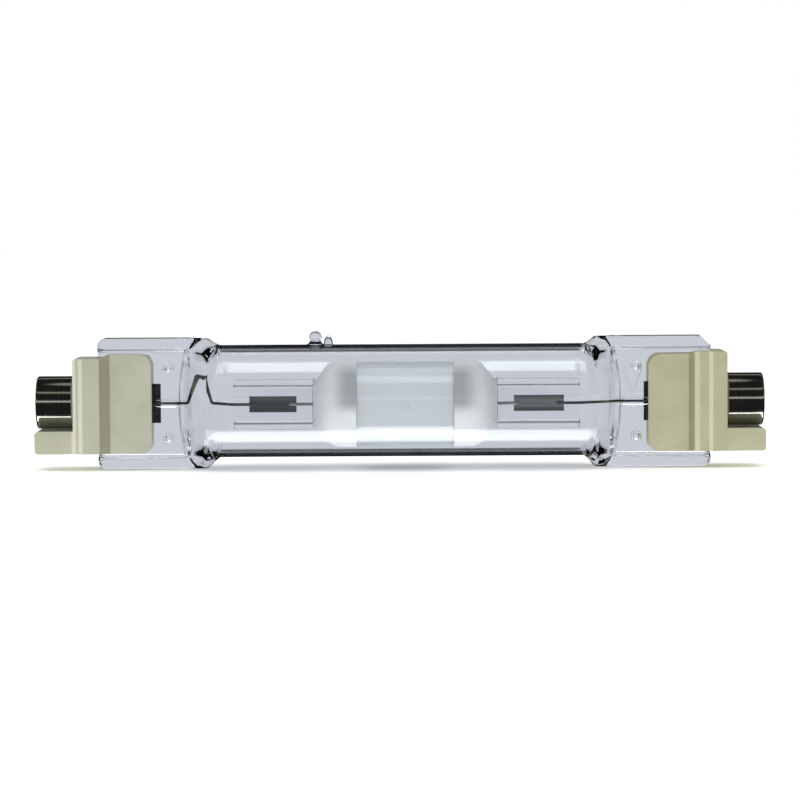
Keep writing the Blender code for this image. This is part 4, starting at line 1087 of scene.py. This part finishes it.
def make_foil(node, welds, material=MOLYBDENUM):
    """A rolled foil, thin at its edges, with a slight ripple and a dent at each spot weld."""
    low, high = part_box(node)
    centre = (low + high) / 2
    size = high - low
    bm = bmesh.new()
    bmesh.ops.create_grid(bm, x_segments=FOIL_GRID[0], y_segments=FOIL_GRID[1], size=0.5)
    for vert in bm.verts:
        along = vert.co.x
        across = vert.co.y
        lens = sqrt(max(0.0, 1 - (2 * across) ** FOIL_LENS_POWER))
        ripple = FOIL_RIPPLE
        for waves_along, waves_across in FOIL_WAVES:
            ripple *= sin(along * waves_along + across * waves_across)
        x = centre.x + along * size.x
        z = centre.z + across * size.z
        dent = sum(WELD_DENT_DEPTH * max(0.0, 1 - ((x - wx) ** 2 + (z - wz) ** 2) / WELD_DENT_RADIUS ** 2)
                   for wx, wz in welds)
        vert.co = Vector((x, centre.y + ripple * lens + dent, z))
    bmesh.ops.recalc_face_normals(bm, faces=bm.faces)
    bmesh.ops.solidify(bm, geom=bm.faces[:], thickness=FOIL_EDGE * 2)
    finish_piece(f"foil_{node}", bm, material, "molybdenum", node)


def make_foils(side):
    """The foil in the arc tube's press and the one in the outer press seal, at one end."""
    name = SIDE_NAMES[side]
    inner, outer = ends_of(f"arc_foil_{name}", side)
    lap = side * WELD_LAP / 2
    metal = ETCHED_MOLYBDENUM if side == RIGHT else MOLYBDENUM
    make_foil(f"arc_foil_{name}", [(inner + lap, BURNER_Z), (outer - lap, BURNER_Z)], metal)
    inner, outer = ends_of(f"seal_foil_{name}", side)
    seal_z = centre_of(f"seal_foil_{name}").z
    make_foil(f"seal_foil_{name}", [(inner + lap, seal_z), (outer - lap, seal_z)])


# Caps and contacts
def cap_plan(side, tip, depth):
    """The cap seen from above: the jaws' width, the step up to the block, its slope to the end."""
    half = depth / 2
    jaw = JAW_DEPTH / 2
    end = size_of("contact_left").x + CAP_FACE + OVERRUN
    points = [(tip, jaw)]
    points += arc((CAP_STEP - STEP_FILLET, jaw + STEP_FILLET), STEP_FILLET, -90, 0)
    points += [(CAP_STEP, half), (CAP_FACE - CAP_BEVEL_LENGTHS[side], half)]
    points += [(CAP_FACE, half - CAP_BEVEL_DEPTH), (end, half - CAP_BEVEL_DEPTH)]
    return points + [(x, -y) for x, y in reversed(points)]


def cap_elevation(tip, end, bottom, jaw_top, block_top):
    """The cap seen from the front: rounded corners, and the shelf under the contact."""
    shelf = AXIS_Z - SHELF_TOP
    points = arc((tip + JAW_TOP_RADIUS, jaw_top - JAW_TOP_RADIUS), JAW_TOP_RADIUS, 180, 90)
    points += [(CAP_STEP - STEP_FILLET, jaw_top), (CAP_STEP, block_top)]
    points += arc((CAP_FACE - CAP_TOP_RADIUS, block_top - CAP_TOP_RADIUS), CAP_TOP_RADIUS, 90, 0)
    points += [(CAP_FACE, shelf)]
    points += arc((end - SHELF_TIP_RADIUS, shelf - SHELF_TIP_RADIUS), SHELF_TIP_RADIUS, 90, 0)
    points += arc((end - SHELF_TIP_RADIUS, bottom + SHELF_TIP_RADIUS), SHELF_TIP_RADIUS, 0, -90)
    points += arc((tip + JAW_BOTTOM_RADIUS, bottom + JAW_BOTTOM_RADIUS), JAW_BOTTOM_RADIUS, 270, 180)
    return points


def make_cap(side):
    """The steatite cap: plan and elevation crossed, edges softened, then slotted and bored."""
    name = SIDE_NAMES[side]
    node = f"ceramic_cap_{name}"
    low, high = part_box(node)
    tip, end = (abs(x) for x in ends_of(node, side))
    centre_z = (low.z + high.z) / 2
    plan = slab(cap_plan(side, tip, high.y - low.y), ALONG_Z, high.z - low.z + 2 * OVERRUN)
    bmesh.ops.translate(plan, verts=plan.verts, vec=(0.0, 0.0, centre_z))
    outline = cap_elevation(tip, end, low.z, SEAL_Z + JAW_TOPS[side], SEAL_Z + BLOCK_TOPS[side])
    elevation = slab(outline, ALONG_Y, high.y - low.y + 2 * OVERRUN)
    body = softened(combine(elevation, [plan], "INTERSECT"), CAP_EDGE)
    slot_end = abs(PRESS_ENDS[side]) + SLOT_END_ROOM
    slot = bmesh.new()
    bmesh.ops.create_cube(slot, size=1.0)
    bmesh.ops.scale(slot, vec=(slot_end - tip + OVERRUN, SLOT_WIDTH, high.z - low.z + 2 * OVERRUN),
                    verts=slot.verts)
    bmesh.ops.translate(slot, verts=slot.verts, vec=((slot_end + tip - OVERRUN) / 2, 0.0, centre_z))
    seat_end = CONTACT_SEAT_DEPTH + OVERRUN
    seat = turned([(0.0, 0.0), (0.0, CONTACT_SEAT_RADIUS), (seat_end, CONTACT_SEAT_RADIUS), (seat_end, 0.0)],
                  Vector((CAP_FACE - CONTACT_SEAT_DEPTH, 0.0, centre_of(f"contact_{name}").z)),
                  ALONG_X, SEAT_STEPS)
    body = combine(body, [slot, seat], "DIFFERENCE")
    if side == LEFT:
        bmesh.ops.scale(body, vec=(-1.0, 1.0, 1.0), verts=body.verts)
        bmesh.ops.reverse_faces(body, faces=body.faces)
    finish_piece(f"cap_{name}", body, CERAMIC, "cream_ceramic", node, sharp=CRISP_EDGE)


def make_contact(side):
    """The turned contact: a barrel with a stem in the cap and a dish where the rod is welded."""
    name = SIDE_NAMES[side]
    node = f"contact_{name}"
    low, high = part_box(node)
    stem_end, end = (abs(x) for x in ends_of(node, side))
    radius = (high.z - low.z) / 2
    seat = CAP_FACE + CONTACT_CLEARANCE
    floor = end - CONTACT_DISH_DEPTH
    profile = [(floor, CONTACT_BORE_RADIUS), (floor, CONTACT_DISH_RADIUS - CONTACT_DISH_DEPTH)]
    profile += arc((floor + CONTACT_DISH_DEPTH, CONTACT_DISH_RADIUS - CONTACT_DISH_DEPTH),
                   CONTACT_DISH_DEPTH, 180, 90, CORNER_STEPS)
    edge = radius - CONTACT_CHAMFER
    profile += arc((end - CONTACT_CHAMFER, edge), CONTACT_CHAMFER, 0, 90, CORNER_STEPS)
    profile += arc((seat + CONTACT_CHAMFER, edge), CONTACT_CHAMFER, 90, 180, CORNER_STEPS)
    profile += [(seat, CONTACT_STEM_RADIUS), (stem_end, CONTACT_STEM_RADIUS), (stem_end, CONTACT_BORE_RADIUS)]
    bm = turned([(side * x, r) for x, r in profile], Vector((0.0, 0.0, (low.z + high.z) / 2)), closed=True)
    finish_piece(f"barrel_{name}", bm, NICKEL, "nickel", node, sharp=CRISP_EDGE)


def make_mercury_bead():
    """The bead of mercury, slightly flattened where it lies on the chamber's wall."""
    size = size_of("mercury_bead")
    bm = bmesh.new()
    bmesh.ops.create_uvsphere(bm, u_segments=DROP_FACETS[0], v_segments=DROP_FACETS[1], radius=0.5)
    bmesh.ops.scale(bm, vec=size, verts=bm.verts)
    bmesh.ops.translate(bm, verts=bm.verts, vec=centre_of("mercury_bead"))
    finish_piece("mercury_drop", bm, MERCURY, "mercury", "mercury_bead")


# Stage
def aimed(obj, target):
    """Turn a lamp or camera to look at a point."""
    obj.rotation_euler = (Vector(target) - obj.location).to_track_quat("-Z", "Y").to_euler()


def softbox(name, location, target, size, brightness):
    """A rectangular lamp; at brightness 1 a white wall right before it renders white."""
    light = bpy.data.lights.new(name, "AREA")
    light.shape = "RECTANGLE"
    light.size, light.size_y = size
    light.energy = brightness * pi * size[0] * size[1]
    obj = bpy.data.objects.new(name, light)
    bpy.context.scene.collection.objects.link(obj)
    obj.location = location
    aimed(obj, target)
    obj.visible_camera = False
    obj.visible_transmission = False
    obj.visible_glossy = False


SOFTBOXES = (("top_light", (0.0, -0.1, 0.7), (0.0, 0.0, 0.0), (0.8, 0.5), 1.2),
             ("left_light", (-0.8, -0.45, 0.15), (0.0, 0.0, AXIS_Z), (0.5, 0.5), 1.6),
             ("right_light", (0.8, -0.45, 0.15), (0.0, 0.0, AXIS_Z), (0.5, 0.5), 0.8))
AMBIENT = (0.40, 0.41, 0.42)
SEEN_DIRECTLY = (1.0, 1.0, 1.0)
SEEN_THROUGH_GLASS = (0.61, 0.63, 0.69)
GLOSS_DARK = (0.02, 0.02, 0.02)
GLOSS_HORIZON = (0.86, 0.88, 0.85)
GLOSS_BAND = (0.42, 0.42, 0.36)
GLOSS_HORIZON_PLACE = (7.0, 5.0)
GLOSS_BAND_PLACE = (46.0, 6.0)
GLOSS_TOP = (0.985, 0.998)
UNDER_GLOW = (5.4, 5.7, 5.9)
UNDER_BACK = (-0.40, -0.02, 0.1)
UNDER_DOWN = (-0.75, -0.65)
UNDER_ASIDE = (0.3, 0.5)
FADE_SHARE = 0.4
FLOOR_RADIUS = 3.0
FLOOR_SEGMENTS = 96
FLOOR_TONE = (0.86, 0.86, 0.86)
FLOOR_GLOW = (1.15, 1.17, 1.18)
FLOOR_WHITE = 0.68
FLOOR_OPENNESS = (0.1, 0.95)
FLOOR_SHADOW_REACH = 20.0 * MM


def elevation_band(tree, sine, elevation, half_width):
    """A mask that is 1 at one elevation and fades out within the half width, in degrees."""
    low = sin(radians(elevation - half_width))
    high = sin(radians(elevation + half_width))
    fade = (high - low) * FADE_SHARE
    return band(tree, sine, low + fade, high - fade, fade)


def make_world():
    """White behind the lamp, soft light round it, and what its metal and glass show of the studio."""
    world = bpy.data.worlds.new("studio")
    world.use_nodes = True
    bpy.context.scene.world = world
    tree = world.node_tree
    background = tree.nodes["Background"]
    path = tree.nodes.new("ShaderNodeLightPath")
    split = tree.nodes.new("ShaderNodeSeparateXYZ")
    tree.links.new(tree.nodes.new("ShaderNodeTexCoord").outputs["Generated"], split.inputs[0])
    aside = math_node(tree, "ABSOLUTE", split.outputs["X"])
    back = split.outputs["Y"]
    up = split.outputs["Z"]
    gloss = mixed(tree, elevation_band(tree, up, *GLOSS_HORIZON_PLACE), GLOSS_DARK, GLOSS_HORIZON)
    gloss = mixed(tree, elevation_band(tree, up, *GLOSS_BAND_PLACE), gloss, GLOSS_BAND)
    gloss = mixed(tree, ranged(tree, up, *GLOSS_TOP), gloss, GLOSS_BAND)
    under = product(tree, band(tree, back, *UNDER_BACK), ranged(tree, up, *UNDER_DOWN, 1.0, 0.0),
                    ranged(tree, aside, *UNDER_ASIDE, 1.0, 0.0))
    gloss = mixed(tree, under, gloss, UNDER_GLOW)
    glass = mixed(tree, under, SEEN_THROUGH_GLASS, UNDER_GLOW)
    colour = mixed(tree, path.outputs["Is Glossy Ray"], AMBIENT, gloss)
    colour = mixed(tree, path.outputs["Is Transmission Ray"], colour, glass)
    colour = mixed(tree, path.outputs["Is Camera Ray"], colour, SEEN_DIRECTLY)
    tree.links.new(colour, background.inputs["Color"])
    background.inputs["Strength"].default_value = 1.0


def make_floor():
    """A pale floor: white with a soft contact shadow, aglow for the coats, and clear to glass and metal."""
    bm = bmesh.new()
    bmesh.ops.create_circle(bm, cap_ends=True, segments=FLOOR_SEGMENTS, radius=FLOOR_RADIUS)
    mesh = bpy.data.meshes.new("floor")
    bm.to_mesh(mesh)
    bm.free()
    floor = bpy.data.objects.new("floor", mesh)
    bpy.context.scene.collection.objects.link(floor)
    material, tree, shader, _ = new_material("pale_floor", 0.9)
    shader.inputs["Base Color"].default_value = (*FLOOR_TONE, 1.0)
    shader.inputs["Specular IOR Level"].default_value = 0.0
    shader.inputs["Emission Color"].default_value = (*SEEN_DIRECTLY, 1.0)
    contact = tree.nodes.new("ShaderNodeAmbientOcclusion")
    contact.inputs["Distance"].default_value = FLOOR_SHADOW_REACH
    shadow = ranged(tree, contact.outputs["AO"], *FLOOR_OPENNESS, 0.0, FLOOR_WHITE)
    tree.links.new(shadow, shader.inputs["Emission Strength"])
    path = tree.nodes.new("ShaderNodeLightPath")
    glow = tree.nodes.new("ShaderNodeEmission")
    glow.inputs["Color"].default_value = (*FLOOR_GLOW, 1.0)
    clear = tree.nodes.new("ShaderNodeBsdfTransparent")
    passes = math_node(tree, "MAXIMUM", path.outputs["Is Glossy Ray"], path.outputs["Is Transmission Ray"])
    unseen = mixed_shader(tree, passes, glow.outputs[0], clear.outputs[0])
    shown = mixed_shader(tree, path.outputs["Is Camera Ray"], unseen, shader.outputs[0])
    tree.links.new(shown, tree.nodes["Material Output"].inputs["Surface"])
    mesh.materials.append(material)


def make_camera():
    """A long lens level with the photograph's view, a little above the lamp and slightly rolled."""
    data = bpy.data.cameras.new("camera")
    data.lens = CAMERA_LENS
    data.sensor_width = CAMERA_SENSOR
    camera = bpy.data.objects.new("camera", data)
    bpy.context.scene.collection.objects.link(camera)
    distance = FRAME_WIDTH * CAMERA_LENS / CAMERA_SENSOR
    elevation = radians(CAMERA_ELEVATION)
    target = Vector((0.0, 0.0, AXIS_Z))
    camera.location = target + distance * Vector((0.0, -cos(elevation), sin(elevation)))
    aimed(camera, target)
    camera.rotation_euler.rotate_axis("Z", -radians(CAMERA_ROLL))
    data.clip_end = 20.0
    bpy.context.scene.camera = camera


make_outer_tube()
make_arc_tube()
make_mercury_bead()
for SIDE in (LEFT, RIGHT):
    SIDE_NAME = SIDE_NAMES[SIDE]
    make_end_coat(SIDE)
    make_rod(f"rod_{SIDE_NAME}", f"electrode_rod_{SIDE_NAME}", TUNGSTEN, "tungsten")
    make_rod(f"terminal_{SIDE_NAME}", f"terminal_lead_{SIDE_NAME}", MOLYBDENUM, "molybdenum")
    make_coil(SIDE)
    make_lead(SIDE)
    make_foils(SIDE)
    make_cap(SIDE)
    make_contact(SIDE)
    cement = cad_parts[f"cap_cement_{SIDE_NAME}"]
    cement.data.materials.clear()
    cement.data.materials.append(CEMENT)

make_world()
make_floor()
for SOFTBOX in SOFTBOXES:
    softbox(*SOFTBOX)
make_camera()
bpy.context.scene.view_settings.view_transform = "Standard"
